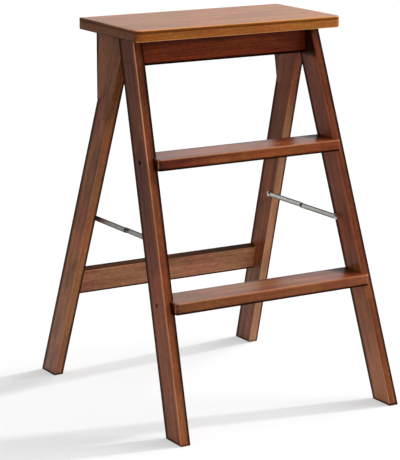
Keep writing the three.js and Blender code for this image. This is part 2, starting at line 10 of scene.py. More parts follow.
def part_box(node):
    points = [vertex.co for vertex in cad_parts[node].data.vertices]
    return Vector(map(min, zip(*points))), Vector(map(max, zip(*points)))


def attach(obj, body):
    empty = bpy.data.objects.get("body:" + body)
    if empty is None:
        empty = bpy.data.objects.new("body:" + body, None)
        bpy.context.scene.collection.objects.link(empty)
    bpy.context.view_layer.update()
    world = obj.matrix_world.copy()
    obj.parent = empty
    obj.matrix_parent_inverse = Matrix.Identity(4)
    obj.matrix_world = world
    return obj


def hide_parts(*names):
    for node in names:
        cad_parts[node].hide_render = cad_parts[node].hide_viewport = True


bl_info = {
    "name": "Folding Step Stool",
    "version": (1, 0, 0),
    "blender": (4, 5, 0),
    "location": "View3D > Sidebar > Step Stool",
    "description": "Builds the wood and metal of a folding step stool chair on its packed frame",
    "category": "Object",
}

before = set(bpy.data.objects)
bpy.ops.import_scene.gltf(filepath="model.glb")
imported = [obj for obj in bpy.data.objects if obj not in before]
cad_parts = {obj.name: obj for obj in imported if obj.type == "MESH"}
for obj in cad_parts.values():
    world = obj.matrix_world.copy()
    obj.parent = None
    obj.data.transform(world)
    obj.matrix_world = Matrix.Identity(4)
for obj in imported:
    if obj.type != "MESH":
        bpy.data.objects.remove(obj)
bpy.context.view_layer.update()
MM = 0.001
SIDES = {"left": -1, "right": 1}

# Where the boards lie, as in the frame

HAIRLINE = 0.3 * MM  # between boards, and between a brace's layers
END_GAP = 0.1 * MM  # between a tread, the apron or the rail and the side frame
SEAT_LOW, SEAT_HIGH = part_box("seat_board")
SEAT_BOTTOM = SEAT_LOW.z
BOARD_TOP = SEAT_BOTTOM - HAIRLINE
STANCE_WIDTH = 432 * MM
STANCE_DEPTH = 495 * MM
TOP_WIDTH = 365 * MM
SIDE_THICKNESS = 18 * MM
CHEEK_THICKNESS = 14.5 * MM
BOARD_WIDTH = 46 * MM  # stiles and legs
ELBOW_Y = 3 * MM
ELBOW_DROP = 35 * MM
ELBOW_Z = SEAT_BOTTOM - ELBOW_DROP

SPLAY = (STANCE_WIDTH - TOP_WIDTH) / 2 / SEAT_BOTTOM
SPLAY_ANGLE = np.arctan(SPLAY)
SIDE_SLAB = SIDE_THICKNESS / np.cos(SPLAY_ANGLE)


def lean_of(run):
    """Angle from upright of a board that stands on one edge at the outside of the stance,
    a run away from the elbow, and passes the elbow's axis with its other edge."""
    return np.arccos((BOARD_WIDTH + HAIRLINE) / np.hypot(run, ELBOW_Z)) - np.arctan2(ELBOW_Z, run)


STILE_LEAN = lean_of(STANCE_DEPTH / 2 + ELBOW_Y)
LEG_LEAN = lean_of(STANCE_DEPTH / 2 - ELBOW_Y)
STILE_DEPTH = BOARD_WIDTH / np.cos(STILE_LEAN)
LEG_DEPTH = BOARD_WIDTH / np.cos(LEG_LEAN)

CHEEK_TIP_Z = SEAT_BOTTOM - 114 * MM
CHEEK_TIP_DEPTH = 1.6 * MM
CHEEK_TOP_DEPTH = 51 * MM

TREAD_TOPS = {"lower": 220.4 * MM, "middle": 442.8 * MM}
TREAD_THICKNESS = 19.5 * MM
TREAD_NOSING = 17 * MM
TREAD_HOUSING = 3.5 * MM
TREAD_BACK_INSET = 0.5 * MM
TREAD_CORNER = 5 * MM
APRON_BOTTOM = BOARD_TOP - 48 * MM
APRON_THICKNESS = 18 * MM
APRON_SETBACK = 14 * MM
SEAT_SCREW_X = 90 * MM
SEAT_SCREW_WELL_TOP = 603 * MM  # height above the floor
RAIL_HEIGHT = 46 * MM
RAIL_THICKNESS = 18 * MM
RAIL_MEET_Z = 179 * MM
RAIL_INSET = 2.5 * MM

BRACE_HEIGHTS = {"left": 303.5 * MM, "right": 307 * MM}
BRACE_MEAN_HEIGHT = 305.25 * MM
BRACE_STILE_INSET = 11.4 * MM  # of the front pivot, from the stile's back
BRACE_LEG_INSET = 8.3 * MM  # of the rear pivot, from the leg's front
LINK_THICKNESS = 1.8 * MM
LINK_HEIGHT = 9 * MM
LINK_REACH = 6.2 * MM
WASHER_THICKNESS = 1.4 * MM
GROOVE_MARGIN = 12 * MM
GROOVE_HALF_HEIGHT = 2.1 * MM
REAR_LIFT = WASHER_THICKNESS + 2 * HAIRLINE
FRONT_LIFT = REAR_LIFT + LINK_THICKNESS + HAIRLINE
HINGE_HALF_WIDTH = 6.8 * MM
HINGE_CLEARANCE = 8 * MM  # from a leaf's top to the seat, up the stile
LEAF_RECESS = 1.8 * MM
KNUCKLE_RADIUS = 3.1 * MM


# Places on the side frames at a height: straight lines, by the tangent of the splay or the lean


def outer_at(z):
    return TOP_WIDTH / 2 + SPLAY * (SEAT_BOTTOM - z)


def inner_at(z):
    return outer_at(z) - SIDE_SLAB


def stile_front(z):
    return z * np.tan(STILE_LEAN) - STANCE_DEPTH / 2


def stile_back(z):
    return stile_front(z) + STILE_DEPTH


def leg_back(z):
    return STANCE_DEPTH / 2 - z * np.tan(LEG_LEAN)


def leg_front(z):
    return leg_back(z) - LEG_DEPTH


def butt_face(z):
    return stile_back(z) + 2 * HAIRLINE / np.cos(STILE_LEAN)


# Settings


def colour_of(name, description, default):
    return bpy.props.FloatVectorProperty(
        name=name, description=description, subtype="COLOR", size=3, min=0, max=1,
        default=default)


def share_of(name, description, default):
    return bpy.props.FloatProperty(
        name=name, description=description, default=default, min=0, max=1, subtype="FACTOR")


def size_of(name, description, default, least, most):
    return bpy.props.FloatProperty(
        name=name, description=description, default=default * MM, min=least * MM, max=most * MM,
        unit="LENGTH", precision=4)


def strength_of(name, description, default, most=10):
    return bpy.props.FloatProperty(
        name=name, description=description, default=default, min=0, max=most)


class StoolWoodSettings(bpy.types.PropertyGroup):
    """Colours and finish of the stained wood."""

    seat_light: colour_of("Seat light", "Light grain of the seat board", (0.56, 0.180, 0.028))
    seat_dark: colour_of("Seat dark", "Dark grain of the seat board", (0.34, 0.096, 0.012))
    tread_light: colour_of("Tread light", "Light grain of the treads", (0.41, 0.118, 0.034))
    tread_dark: colour_of("Tread dark", "Dark grain of the treads", (0.19, 0.042, 0.012))
    frame_light: colour_of("Stile light", "Light grain of the stiles", (0.50, 0.150, 0.058))
    frame_dark: colour_of("Stile dark", "Dark grain of the stiles", (0.150, 0.040, 0.016))
    apron_light: colour_of("Apron light", "Light grain of the apron", (0.32, 0.066, 0.017))
    apron_dark: colour_of("Apron dark", "Dark grain of the apron", (0.11, 0.016, 0.005))
    rear_light: colour_of(
        "Leg light", "Light grain of the rear legs, cheeks and rail", (0.62, 0.250, 0.125))
    rear_dark: colour_of(
        "Leg dark", "Dark grain of the rear legs, cheeks and rail", (0.22, 0.078, 0.036))
    # Scales the lighter arrises and faces, rubbed and with painted highlights and light, and the
    # darker arrises and painted shade
    wear: share_of("Edge wear", "How strongly the arrises are worn light or stained dark", 0.9)
    grain: share_of("Grain", "Strength of the grain's relief", 0.35)


class StoolEdgeSettings(bpy.types.PropertyGroup):
    """Roundings of the boards' arrises."""

    stile_rounding: size_of(
        "Stile rounding", "Radius of the long arrises of stiles and legs", 1.5, 0.5, 6)
    seat_rounding: size_of(
        "Seat rounding", "Radius of the seat's upper and lower arrises", 1.7, 0.5, 9)
    seat_front_corner: size_of(
        "Seat front corner", "Radius of the seat's front corners, from above", 10, 4, 40)
    seat_back_corner: size_of(
        "Seat back corner", "Radius of the seat's back corners, from above", 4, 4, 40)
    tread_rounding: size_of(
        "Tread rounding", "Radius of the treads' front arrises", 1.8, 0.5, 9)


class StoolMetalSettings(bpy.types.PropertyGroup):
    """Finish of the braces and the screws."""

    nickel: colour_of("Nickel", "Plating of the braces", (0.68, 0.67, 0.63))
    screw_steel: colour_of("Screw steel", "Dark steel of the sunk screws", (0.09, 0.085, 0.08))
    hinge_steel: colour_of(
        "Hinge steel", "Plain steel of the elbow hinges", (0.40, 0.385, 0.36))
    groove_depth: size_of(
        "Groove depth", "Depth of the groove pressed into each link", 0.5, 0, 1)


class StoolStageSettings(bpy.types.PropertyGroup):
    """Light and camera."""

    key_strength: strength_of("Key light", "Strength of the low light from the right", 2.9)
    front_strength: strength_of(
        "Front light", "Strength of the very soft light from the front", 1.0)
    floor_strength: strength_of(
        "Floor light", "Strength of the wide light that only the floor gets", 4.0)
    ambient: strength_of("Ambient", "Level of the even light from all round", 0.38, 2)
    lens: bpy.props.FloatProperty(
        name="Lens", description="Focal length for a 36 mm long side of the frame",
        default=156.755, min=20, max=400, subtype="DISTANCE_CAMERA")


# Meshes


def added(name, data):
    """A new object in the scene with this mesh, lamp or camera."""
    item = bpy.data.objects.new(name, data)
    bpy.context.scene.collection.objects.link(item)
    return item


def skin(name, rings, rim=None, closed=False):
    """A closed mesh over rings of points, given as an array of ring by point by xyz.
    Neighbouring rings are joined by quads, and the first and the last ring are capped, or joined
    to each other where closed. The faces are turned outwards by the sign of the volume, which
    goes with the sum, over all faces, of the face's middle dot (corner cross next corner)."""
    count, around = rings.shape[:2]
    index = np.arange(count * around).reshape(count, around)
    upper = np.roll(index, -1, axis=0) if closed else index[1:]
    lower = index if closed else index[:-1]
    quads = np.stack(
        [lower, np.roll(lower, -1, axis=1), np.roll(upper, -1, axis=1), upper], axis=-1)
    quads = quads.reshape(-1, 4)
    points = rings.reshape(-1, 3)
    caps = [] if closed else [index[0][::-1], index[-1]]
    volume = 0.0
    for faces in (quads, *[cap[None] for cap in caps]):
        corners = points[faces] - points.mean(axis=0)
        turns = np.cross(corners, np.roll(corners, -1, axis=1)).sum(axis=1)
        volume += (turns * corners.mean(axis=1)).sum()
    if volume < 0:
        quads = quads[:, ::-1]
        caps = [cap[::-1] for cap in caps]
    mesh = bpy.data.meshes.new(name)
    mesh.from_pydata(points.tolist(), [], quads.tolist() + [cap.tolist() for cap in caps])
    share = np.zeros(len(points)) if rim is None else rim.reshape(-1)
    layer = mesh.attributes.new("rim", "FLOAT", "POINT")
    layer.data.foreach_set("value", share.astype(np.float32))
    soften(mesh)
    return added(name, mesh)


def soften(mesh):
    """Smooth shading that breaks where faces meet at more than 32 degrees."""
    mesh.shade_smooth()
    mesh.set_sharp_from_angle(angle=np.radians(32))


def carve(piece, cutters):
    """Takes the cutters' volume out of a piece and removes the cutters."""
    for cutter in cutters:
        cut = piece.modifiers.new("cut", "BOOLEAN")
        cut.operation = "DIFFERENCE"
        cut.solver = "EXACT"
        cut.object = cutter
    bpy.context.view_layer.update()
    graph = bpy.context.evaluated_depsgraph_get()
    carved = bpy.data.meshes.new_from_object(piece.evaluated_get(graph))
    whole = piece.data
    piece.modifiers.clear()
    piece.data = carved
    bpy.data.meshes.remove(whole)
    carved.name = piece.name
    soften(carved)
    for cutter in cutters:
        bpy.data.meshes.remove(cutter.data)


ARC_STEPS = 6
SUPPORT = 4 * MM
END_ROUNDING = 0.8 * MM
TIGHT_ROUNDING = 0.35 * MM
NO_SHARES = (0, 0, 0, 0)
# How far the band beside a lighter arris, and the darker band beside a darker one, reach along a
# and b
WEAR_AND_HIGHLIGHT_REACH = (0.4 * MM, 0.4 * MM)
DARK_EDGE_REACH = (3 * MM, 3 * MM)
SIDE_DARK_EDGE_REACH = (4.5 * MM, 9 * MM)


def outline(bounds, radii, arrises, flats, dark_edge_reach):
    """Rounded rectangles, one for each station: points at corner centre plus radius times
    (cosine, sine) of an angle that sweeps a quarter turn in each corner, with one more point on
    the flat beside each end of a sweep, closer where the arris is lighter than where it is darker.
    Returns a, b and the share of lightening or darkening, each as an array of station by point."""
    low_a, high_a, low_b, high_b = [bound[:, None] for bound in bounds]
    sweep = np.linspace(0, np.pi / 2, ARC_STEPS + 1)
    columns_a, columns_b, columns_rim = [], [], []
    for quarter, (sign_a, sign_b) in enumerate([(1, 1), (-1, 1), (-1, -1), (1, -1)]):
        radius = radii[:, quarter:quarter + 1]
        angle = sweep + quarter * np.pi / 2
        arc_a = (high_a if sign_a > 0 else low_a) - sign_a * radius + radius * np.cos(angle)
        arc_b = (high_b if sign_b > 0 else low_b) - sign_b * radius + radius * np.sin(angle)
        reach = dark_edge_reach if arrises[quarter] < 0 else WEAR_AND_HIGHLIGHT_REACH
        reach_a = np.clip((high_a - low_a - 2 * radius) / 3, 1e-6, reach[0])
        reach_b = np.clip((high_b - low_b - 2 * radius) / 3, 1e-6, reach[1])
        first, last = angle[0], angle[-1]
        columns_a += [
            arc_a[:, :1] + reach_a * np.sin(first), arc_a, arc_a[:, -1:] - reach_a * np.sin(last)]
        columns_b += [
            arc_b[:, :1] - reach_b * np.cos(first), arc_b, arc_b[:, -1:] + reach_b * np.cos(last)]
        columns_rim += [flats[quarter - 1], *np.full(len(sweep), arrises[quarter]), flats[quarter]]
    a = np.concatenate(columns_a, axis=1)
    b = np.concatenate(columns_b, axis=1)
    return a, b, np.broadcast_to(columns_rim, a.shape)


def end_stations(low, high, rounding, middle=()):
    """Positions along a board, and how far its outline is drawn in at each. Both ends are
    quarter circles: position is rounding times (1 - sine) from the end, and the draw-in is
    rounding times (1 - cosine). Returns positions, draw-ins and the arris share."""
    sweep = np.linspace(np.pi / 2, 0, ARC_STEPS + 1)
    away = np.concatenate([[0], rounding * (1 - np.sin(sweep)), [rounding + SUPPORT]])
    drawn = np.concatenate([[rounding + SUPPORT], rounding * (1 - np.cos(sweep)), [0]])
    share = np.concatenate([[0], np.sqrt(np.abs(np.sin(2 * sweep))), [0]])
    middle = np.asarray(middle, float)
    position = np.concatenate([low + away, middle, (high - away)[::-1]])
    draw_in = np.concatenate([drawn, 0 * middle, drawn[::-1]])
    rim = np.concatenate([share, 0 * middle, share[::-1]])
    return position, draw_in, rim


def standing_stations(middle):
    """Stations from the floor to the seat, with painted shade on both ends' arrises, under the seat
    and fully at the feet.
    """
    position, draw_in, rim = end_stations(0, BOARD_TOP, END_ROUNDING, middle)
    rim = -rim
    rim[1:ARC_STEPS + 2] = -1
    return position, draw_in, rim


def lofted(name, stations, bounds, radii, place, arrises=NO_SHARES, flats=NO_SHARES,
           dark_edge_reach=DARK_EDGE_REACH):
    """A board as a rounded rectangle carried along its length. At each station the rectangle
    lies between the bounds, drawn in all round, and place turns (a, b, position) into xyz.
    The four long arrises go round from high a and high b by low a, and each flat follows its
    arris. Their shares say how much lighter they are, from rubbing, painted highlights and painted
    light, and how much darker where below zero, from darker arrises and painted shade. The
    darkening reaches this far from its arris along a and along b."""
    position, draw_in, rim = stations
    low_a, high_a, low_b, high_b = [np.broadcast_to(bound, position.shape) for bound in bounds]
    radii = np.broadcast_to(np.asarray(radii, float), (len(position), 4))
    room = np.minimum(high_a - low_a, high_b - low_b)[:, None]
    corner = np.clip(radii - draw_in[:, None], 0.08 * MM, 0.42 * room)
    drawn = (low_a + draw_in, high_a - draw_in, low_b + draw_in, high_b - draw_in)
    a, b, ring_rim = outline(drawn, corner, arrises, flats, dark_edge_reach)
    rings = np.stack(place(a, b, np.broadcast_to(position[:, None], a.shape)), axis=-1)
    ends = np.broadcast_to(rim[:, None], ring_rim.shape)
    return skin(name, rings, np.where(np.abs(ring_rim) > np.abs(ends), ring_rim, ends))


def side_board(name, side, stations, inner, front, back, radii, arrises, flats=NO_SHARES):
    """A board of a side frame: a is how far below the splayed outer face, b is the depth."""
    return lofted(
        name, stations, (0.0, inner, front, back), radii,
        lambda a, b, along: (side * (outer_at(along) - a), b, along),
        arrises, flats, SIDE_DARK_EDGE_REACH)


def cross_board(name, bounds, radii, depth_and_height, arrises, flats=NO_SHARES):
    """A board between the side frames, whose ends follow the splay: x is a share from -1 to 1
    times the distance to the inner face at that height."""
    def place(a, b, along):
        y, z = depth_and_height(a, b)
        return along * (inner_at(z) - END_GAP), y, z

    share = np.linspace(-1, 1, 9)
    return lofted(name, (share, 0 * share, 0 * share), bounds, radii, place, arrises, flats)


def relight_and_reshade(piece, rule, *which):
    """Gives each point of a piece a new share of lightening or darkening, for rubbing, painted
    light and painted shade, by a rule on its place and its old share.
    """
    mesh = piece.data
    layer = mesh.attributes["rim"].data
    share = np.empty(len(layer))
    layer.foreach_get("value", share)
    points = np.empty(3 * len(layer))
    mesh.vertices.foreach_get("co", points)
    share = rule(*points.reshape(-1, 3).T, share, *which)
    layer.foreach_set("value", share.astype(np.float32))


def prism(name, section, low, high, matrix):
    """A straight-sided cutter: a section in local x and y, carried from one height to another."""
    section = np.asarray(section, float)
    rings = np.stack([
        np.column_stack([section, np.full(len(section), height)]) for height in (low, high)])
    return skin(name, moved(rings, matrix))


def circle(radius, points=32):
    """Points at radius times (cosine, sine) of evenly spread angles."""
    angle = np.linspace(0, 2 * np.pi, points, endpoint=False)
    return radius * np.column_stack([np.cos(angle), np.sin(angle)])


def rectangle(half, low, high):
    """Corners at plus and minus half in x, and at low and high in y."""
    return [(-half, low), (half, low), (half, high), (-half, high)]


def turned_rings(profile, points=48):
    """A profile of (radius, height) carried round local z: x and y are radius times cosine and
    sine of the angle, and z is the height."""
    profile = np.asarray(profile, float)
    angle = np.linspace(0, 2 * np.pi, points, endpoint=False)
    radius = profile[:, :1]
    height = np.broadcast_to(profile[:, 1:], (len(profile), points))
    return np.stack([radius * np.cos(angle), radius * np.sin(angle), height], axis=-1)


def moved(points, matrix):
    """Local points put in place by a 4 by 4 matrix."""
    matrix = np.array(matrix)
    return points @ matrix[:3, :3].T + matrix[:3, 3]


def frame_at(point, across, up, along):
    """A matrix with these axes as its x, y and z."""
    matrix = np.eye(4)
    matrix[:3, :4] = np.column_stack([across, up, along, point])
    return matrix


def on_side_face(side, y, z, lift, outward=False):
    """A place over a side frame's inner or outer face, with local y up the face and local z
    away from it."""
    facing = 1 if outward else -1
    away = facing * np.array([side * np.cos(SPLAY_ANGLE), 0, np.sin(SPLAY_ANGLE)])
    up = np.array([-side * np.sin(SPLAY_ANGLE), 0, np.cos(SPLAY_ANGLE)])
    face = outer_at(z) if outward else inner_at(z)
    point = np.array([side * face, y, z]) + lift * away
    return frame_at(point, np.cross(up, away), up, away)


def set_on(piece, body, node, finish):
    """Gives a piece its finish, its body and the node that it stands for."""
    piece.data.materials.clear()
    piece.data.materials.append(finish)
    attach(piece, body)
    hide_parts(node)


# Finishes


class Nodes:
    """Adds shader nodes to one material or world."""

    def __init__(self, owner):
        owner.use_nodes = True
        self.owner = owner
        self.tree = owner.node_tree
        self.shader = self.tree.nodes.get("Principled BSDF")
        self.place = self.node("TexCoord").outputs

    def node(self, kind, inputs=(), **settings):
        """A new node with these settings, and with its inputs fed."""
        node = self.tree.nodes.new(f"ShaderNode{kind}")
        for name, value in settings.items():
            setattr(node, name, value)
        for key, value in dict(inputs).items():
            self.feed(node.inputs[key], value)
        return node

    def feed(self, socket, value):
        """Links an output to a socket, or sets a number, a vector or a colour there."""
        if isinstance(value, bpy.types.NodeSocket):
            self.tree.links.new(value, socket)
        elif socket.type == "RGBA":
            socket.default_value = (*value, 1)
        else:
            socket.default_value = value

    def mapping(self, vector, kind="POINT", **inputs):
        inputs = {name.capitalize(): value for name, value in inputs.items()}
        node = self.node("Mapping", {"Vector": vector, **inputs}, vector_type=kind)
        return node.outputs["Vector"]

    def noise(self, vector, scale=1.0, detail=3.0, roughness=0.5, distortion=0.0):
        inputs = {"Vector": vector, "Scale": scale, "Detail": detail, "Roughness": roughness,
                  "Distortion": distortion}
        return self.node("TexNoise", inputs).outputs["Fac"]

    def math(self, operation, *values, clamp=False):
        node = self.node("Math", enumerate(values), operation=operation, use_clamp=clamp)
        return node.outputs["Value"]

    def spread(self, value, low, high, to_low=0.0, to_high=1.0, kind="SMOOTHSTEP"):
        inputs = {"Value": value, "From Min": low, "From Max": high, "To Min": to_low,
                  "To Max": to_high}
        return self.node("MapRange", inputs, interpolation_type=kind).outputs["Result"]

    def mix(self, share, first, second, blend="MIX"):
        inputs = {0: share, 6: first, 7: second}
        return self.node("Mix", inputs, data_type="RGBA", blend_type=blend).outputs[2]

    def times(self, first, second):
        return self.mix(1.0, first, second, "MULTIPLY")

    def grey(self, value):
        return self.node("CombineColor", enumerate([value] * 3)).outputs["Color"]

    def parts(self, vector):
        return self.node("SeparateXYZ", {0: vector}).outputs

    def rim(self):
        return self.node("Attribute", attribute_name="rim").outputs["Fac"]

    def ramp(self, value, stops):
        """Colours that follow a value in straight steps from stop to stop."""
        low, high = stops[0][0], stops[-1][0]
        scaled = self.math("MULTIPLY_ADD", value, 1 / (high - low), -low / (high - low))
        node = self.node("ValToRGB", {"Fac": scaled})
        elements = node.color_ramp.elements
        while len(elements) < len(stops):
            elements.new(0.5)
        for element, (at, colour) in zip(elements, stops):
            element.position = (at - low) / (high - low)
            element.color = (*colour, 1)
        return node.outputs["Color"]

    def surface(self, colour, roughness, relief, strength, distance):
        """The material, given its colour and roughness, and a relief of this strength and depth."""
        bump = self.node("Bump", {"Strength": strength, "Distance": distance, "Height": relief})
        self.feed(self.shader.inputs["Base Color"], colour)
        self.feed(self.shader.inputs["Roughness"], roughness)
        self.feed(self.shader.inputs["Normal"], bump.outputs["Normal"])
        return self.owner


def scaled_colour(colour, factor):
    return [min(1, factor * value) for value in colour]


RING_PITCH = 4.2 * MM
RING_WARP = 26.0
DARKENING_POWER = 0.42


def stained_wood(name, tones, centre, turn, seed, wood, rings=1.0, shade=None, gloss=0.14,
                 shade_axis=0, drift=0.10):
    """Satin stained wood. The grain runs along local x of the given turn. Growth rings are the
    sine of the distance from a far, slightly tilted heart line, warped by noise. Long streaks,
    blotches and short pores are noise stretched along the grain, and a broader noise turns the
    stain a little redder or more olive. The shade multiplies the colour along the board with
    painted light and shade, and with darker end grain. Where the rim attribute is above zero the
    wood is lighter: rubbed arrises, painted highlights on arrises and painted light on some faces.
    Where it is below zero it is darker: darker arrises and painted shade, by a power of the rim
    that spreads the darkening wide."""
    light, dark = getattr(wood, f"{tones}_light"), getattr(wood, f"{tones}_dark")
    n = Nodes(bpy.data.materials.new(name))
    grain = n.mapping(n.place["Object"], "TEXTURE", location=centre, rotation=turn)

    def stretched(scale, location=(0, 0, 0), **texture):
        return n.noise(n.mapping(grain, location=location, scale=scale), **texture)

    heart = n.mapping(
        grain, location=(seed * 0.37, 0.021 + seed % 3 * 0.012, 0.034 + seed % 2 * 0.02),
        rotation=(0, 0.035 + seed % 4 * 0.008, 0.05 - seed % 5 * 0.012))
    warp = stretched((3.0, 14, 14), (seed, seed, 0), detail=2.0)
    _, across, thick = n.parts(heart)
    squares = n.math("ADD", n.math("MULTIPLY", across, across), n.math("MULTIPLY", thick, thick))
    phase = n.math("MULTIPLY_ADD", n.math("SQRT", squares), 2 * np.pi / RING_PITCH,
                   n.math("MULTIPLY", warp, RING_WARP))
    ring = n.math("MULTIPLY_ADD", n.math("SINE", phase), 0.5, 0.5)
    streak = stretched(
        (3.5, 95, 95), (0, seed, seed), detail=6.0, roughness=0.62, distortion=0.25)
    blotch = stretched((9, 26, 26), (seed, 0, seed), roughness=0.6, distortion=0.6)
    pores = n.spread(stretched((70, 1150, 1150), detail=2.0), 0.60, 0.72)
    tone = n.math("MULTIPLY_ADD", n.spread(streak, 0.36, 0.64), 0.42,
                  n.math("MULTIPLY", n.spread(blotch, 0.38, 0.62), 0.40))
    tone = n.math("MULTIPLY_ADD", ring, 0.18 * rings, tone, clamp=True)
    colour = n.mix(tone, dark, light)
    colour = n.mix(n.math("MULTIPLY", pores, 0.4), colour, scaled_colour(dark, 0.45))
    speckle = stretched((110, 260, 260), detail=4.0, roughness=0.7)
    colour = n.times(colour, n.grey(n.spread(speckle, 0.3, 0.7, 0.78, 1.18)))
    cast = n.spread(stretched((10, 16, 16), (seed, seed, seed)), 0.38, 0.62)
    colour = n.times(colour, n.mix(cast, (1.05, 0.92, 0.98), (0.97, 1.06, 0.90)))
    # Painted light and shade along the board, and darker end grain
    if shade is not None:
        drifted = n.math("MULTIPLY_ADD", n.math("SUBTRACT", blotch, 0.5), drift,
                         n.parts(grain)[shade_axis])
        colour = n.times(colour, n.ramp(drifted, shade))
    # Lighter where the rim is above zero: rubbed arrises, painted highlights and painted light
    rim = n.rim()
    patchy = n.spread(stretched((9, 60, 60)), 0.22, 0.55, 0.3)
    worn_and_lit = n.math("MULTIPLY", n.math("MULTIPLY", rim, patchy, clamp=True), wood.wear)
    worn_and_lit_colour = [min(1, 1.7 * value + extra) for value, extra in zip(light, (0.10, 0.14, 0.11))]
    colour = n.mix(worn_and_lit, colour, worn_and_lit_colour)
    # Darker where the rim is below zero, with less gloss: darker arrises and painted shade
    stained = n.math("POWER", n.math("MULTIPLY", rim, -1.0, clamp=True), DARKENING_POWER)
    stained = n.math("MULTIPLY", stained, min(1.0, 1.1 * wood.wear))
    colour = n.mix(stained, colour, scaled_colour(dark, 0.08))
    shine = n.math("MULTIPLY_ADD", stained, -gloss, gloss)
    n.feed(n.shader.inputs["Specular IOR Level"], shine)
    roughness = n.math("MULTIPLY_ADD", streak, -0.14, 0.38)
    relief = n.math("MULTIPLY_ADD", pores, -0.8, n.math("MULTIPLY_ADD", ring, 0.12, streak))
    return n.surface(colour, roughness, relief, wood.grain, 0.12 * MM)


def plated_metal(name, colour, roughness, turn=(0, 0, 0), stain=0.35):
    """Metal with a fine brushing along local x, cloudy stains and small scuffs, darker where the
    rim attribute is below zero: darker edges and painted shade on the braces' strips."""
    n = Nodes(bpy.data.materials.new(name))
    local = n.mapping(n.place["Object"], "TEXTURE", rotation=turn)
    cloud = n.noise(local, scale=170.0, detail=4.0, roughness=0.6)
    brush = n.noise(n.mapping(local, scale=(90, 2600, 2600)))
    scuff = n.spread(n.noise(local, scale=700.0, detail=2.0), 0.62, 0.75)
    stained = n.math("MULTIPLY", n.spread(cloud, 0.42, 0.75), stain)
    shade = n.mix(stained, colour, scaled_colour(colour, 0.45))
    shade = n.mix(n.math("MULTIPLY", scuff, 0.3), shade, scaled_colour(colour, 1.3))
    # Darker edges and painted shade where the rim is below zero
    dark_edges_and_shade = n.math("MULTIPLY", n.rim(), -1.0, clamp=True)
    shade = n.mix(dark_edges_and_shade, shade, scaled_colour(colour, 0.06))
    n.shader.inputs["Metallic"].default_value = 1.0
    clouded = n.math("MULTIPLY_ADD", cloud, 0.22, roughness)
    relief = n.math("MULTIPLY_ADD", scuff, -0.5, brush)
    return n.surface(shade, clouded, relief, 0.25, 0.03 * MM)


def bare_dowel_wood(name):
    """Plain beech: pale, with short dark flecks."""
    n = Nodes(bpy.data.materials.new(name))
    streak = n.noise(n.mapping(n.place["Object"], scale=(120, 120, 120)), detail=4.0)
    fleck = n.noise(n.mapping(n.place["Object"], scale=(900, 900, 900)), detail=1.0)
    fleck = n.math("MULTIPLY", n.spread(fleck, 0.6, 0.7), 0.5)
    colour = n.mix(fleck, n.mix(streak, (0.46, 0.27, 0.12), (0.66, 0.45, 0.24)), (0.3, 0.16, 0.07))
    return n.surface(colour, n.math("MULTIPLY_ADD", streak, 0.15, 0.6), streak, 0.3, 0.08 * MM)


# Light and shade painted along each kind of board, and darker end grain: places in metres along
# the grain from where it is centred, and what the colour is multiplied by there. The stiles and
# legs get painted light towards the floor, the apron's top lies in painted shadow under the seat,
# and the ends of the seat and the treads are darker: end grain and painted shade.

SEAT_SHADE = (
    (-0.2000, (0.44, 0.44, 0.60)), (-0.1990, (0.46, 0.48, 0.62)), (-0.1975, (0.70, 0.68, 0.55)),
    (0.0, (0.87, 0.86, 0.73)), (0.1975, (0.97, 0.97, 0.88)), (0.2, (0.46, 0.48, 0.62)))
TREAD_SHADE = {
    "middle": (
        (-0.181, (0.30, 0.18, 0.30)), (-0.176, (0.52, 0.24, 0.30)), (-0.13, (0.62, 0.34, 0.40)),
        (-0.06, (0.98, 0.95, 0.85)), (0.08, (1.0, 0.90, 0.66)), (0.18, (0.90, 0.78, 0.76))),
    "lower": (
        (-0.193, (0.40, 0.26, 0.40)), (-0.188, (0.74, 0.84, 0.90)), (-0.06, (0.92, 1.0, 1.0)),
        (0.19, (1.0, 1.0, 1.0)))}
APRON_SHADE = (  # up from the lower edge, with a painted shadow under the seat at the top
    (0.0, (1.0, 0.9, 0.9)), (0.030, (1.0, 0.9, 0.8)), (0.038, (0.62, 0.5, 0.4)),
    (0.043, (0.10, 0.08, 0.08)), (0.048, (0.05, 0.04, 0.04)))
STILE_SHADE = (
    (-0.30, (1.0, 1.0, 0.98)), (-0.10, (0.88, 0.80, 0.74)), (0.10, (0.68, 0.58, 0.50)),
    (0.25, (0.60, 0.51, 0.44)))
LEG_SHADE = (
    (-0.30, (1.0, 1.0, 1.0)), (-0.05, (0.92, 0.76, 0.54)), (0.12, (0.74, 0.58, 0.42)),
    (0.25, (0.64, 0.50, 0.38)))
ALONG_X = (0, 0, 0)
GRAIN_CENTRE_Z = 0.3  # of stiles, legs and cheeks


def side_wood(name, tones, side, edge, lean, seed, wood, shade, rings=1.0):
    """Stained wood whose grain runs up a side board that leans towards the back by lean, from
    the middle of one of its edges."""
    up = Vector((-side * np.sin(SPLAY_ANGLE), np.sin(lean), np.cos(lean))).normalized()
    wide = Vector((side, 0, 0)).cross(up).normalized()
    thick = up.cross(wide).normalized()
    turn = Matrix((up, wide, thick)).transposed().to_euler()
    centre = (side * outer_at(GRAIN_CENTRE_Z), edge(GRAIN_CENTRE_Z), GRAIN_CENTRE_Z)
    return stained_wood(name, tones, centre, turn, seed, wood, rings, shade)


# Screws and hinges

# Screws lie along local z with the point down and the head's underside at height 0. Their sizes
# are the head's radius and height, the shank's radius and length, and the point's length.

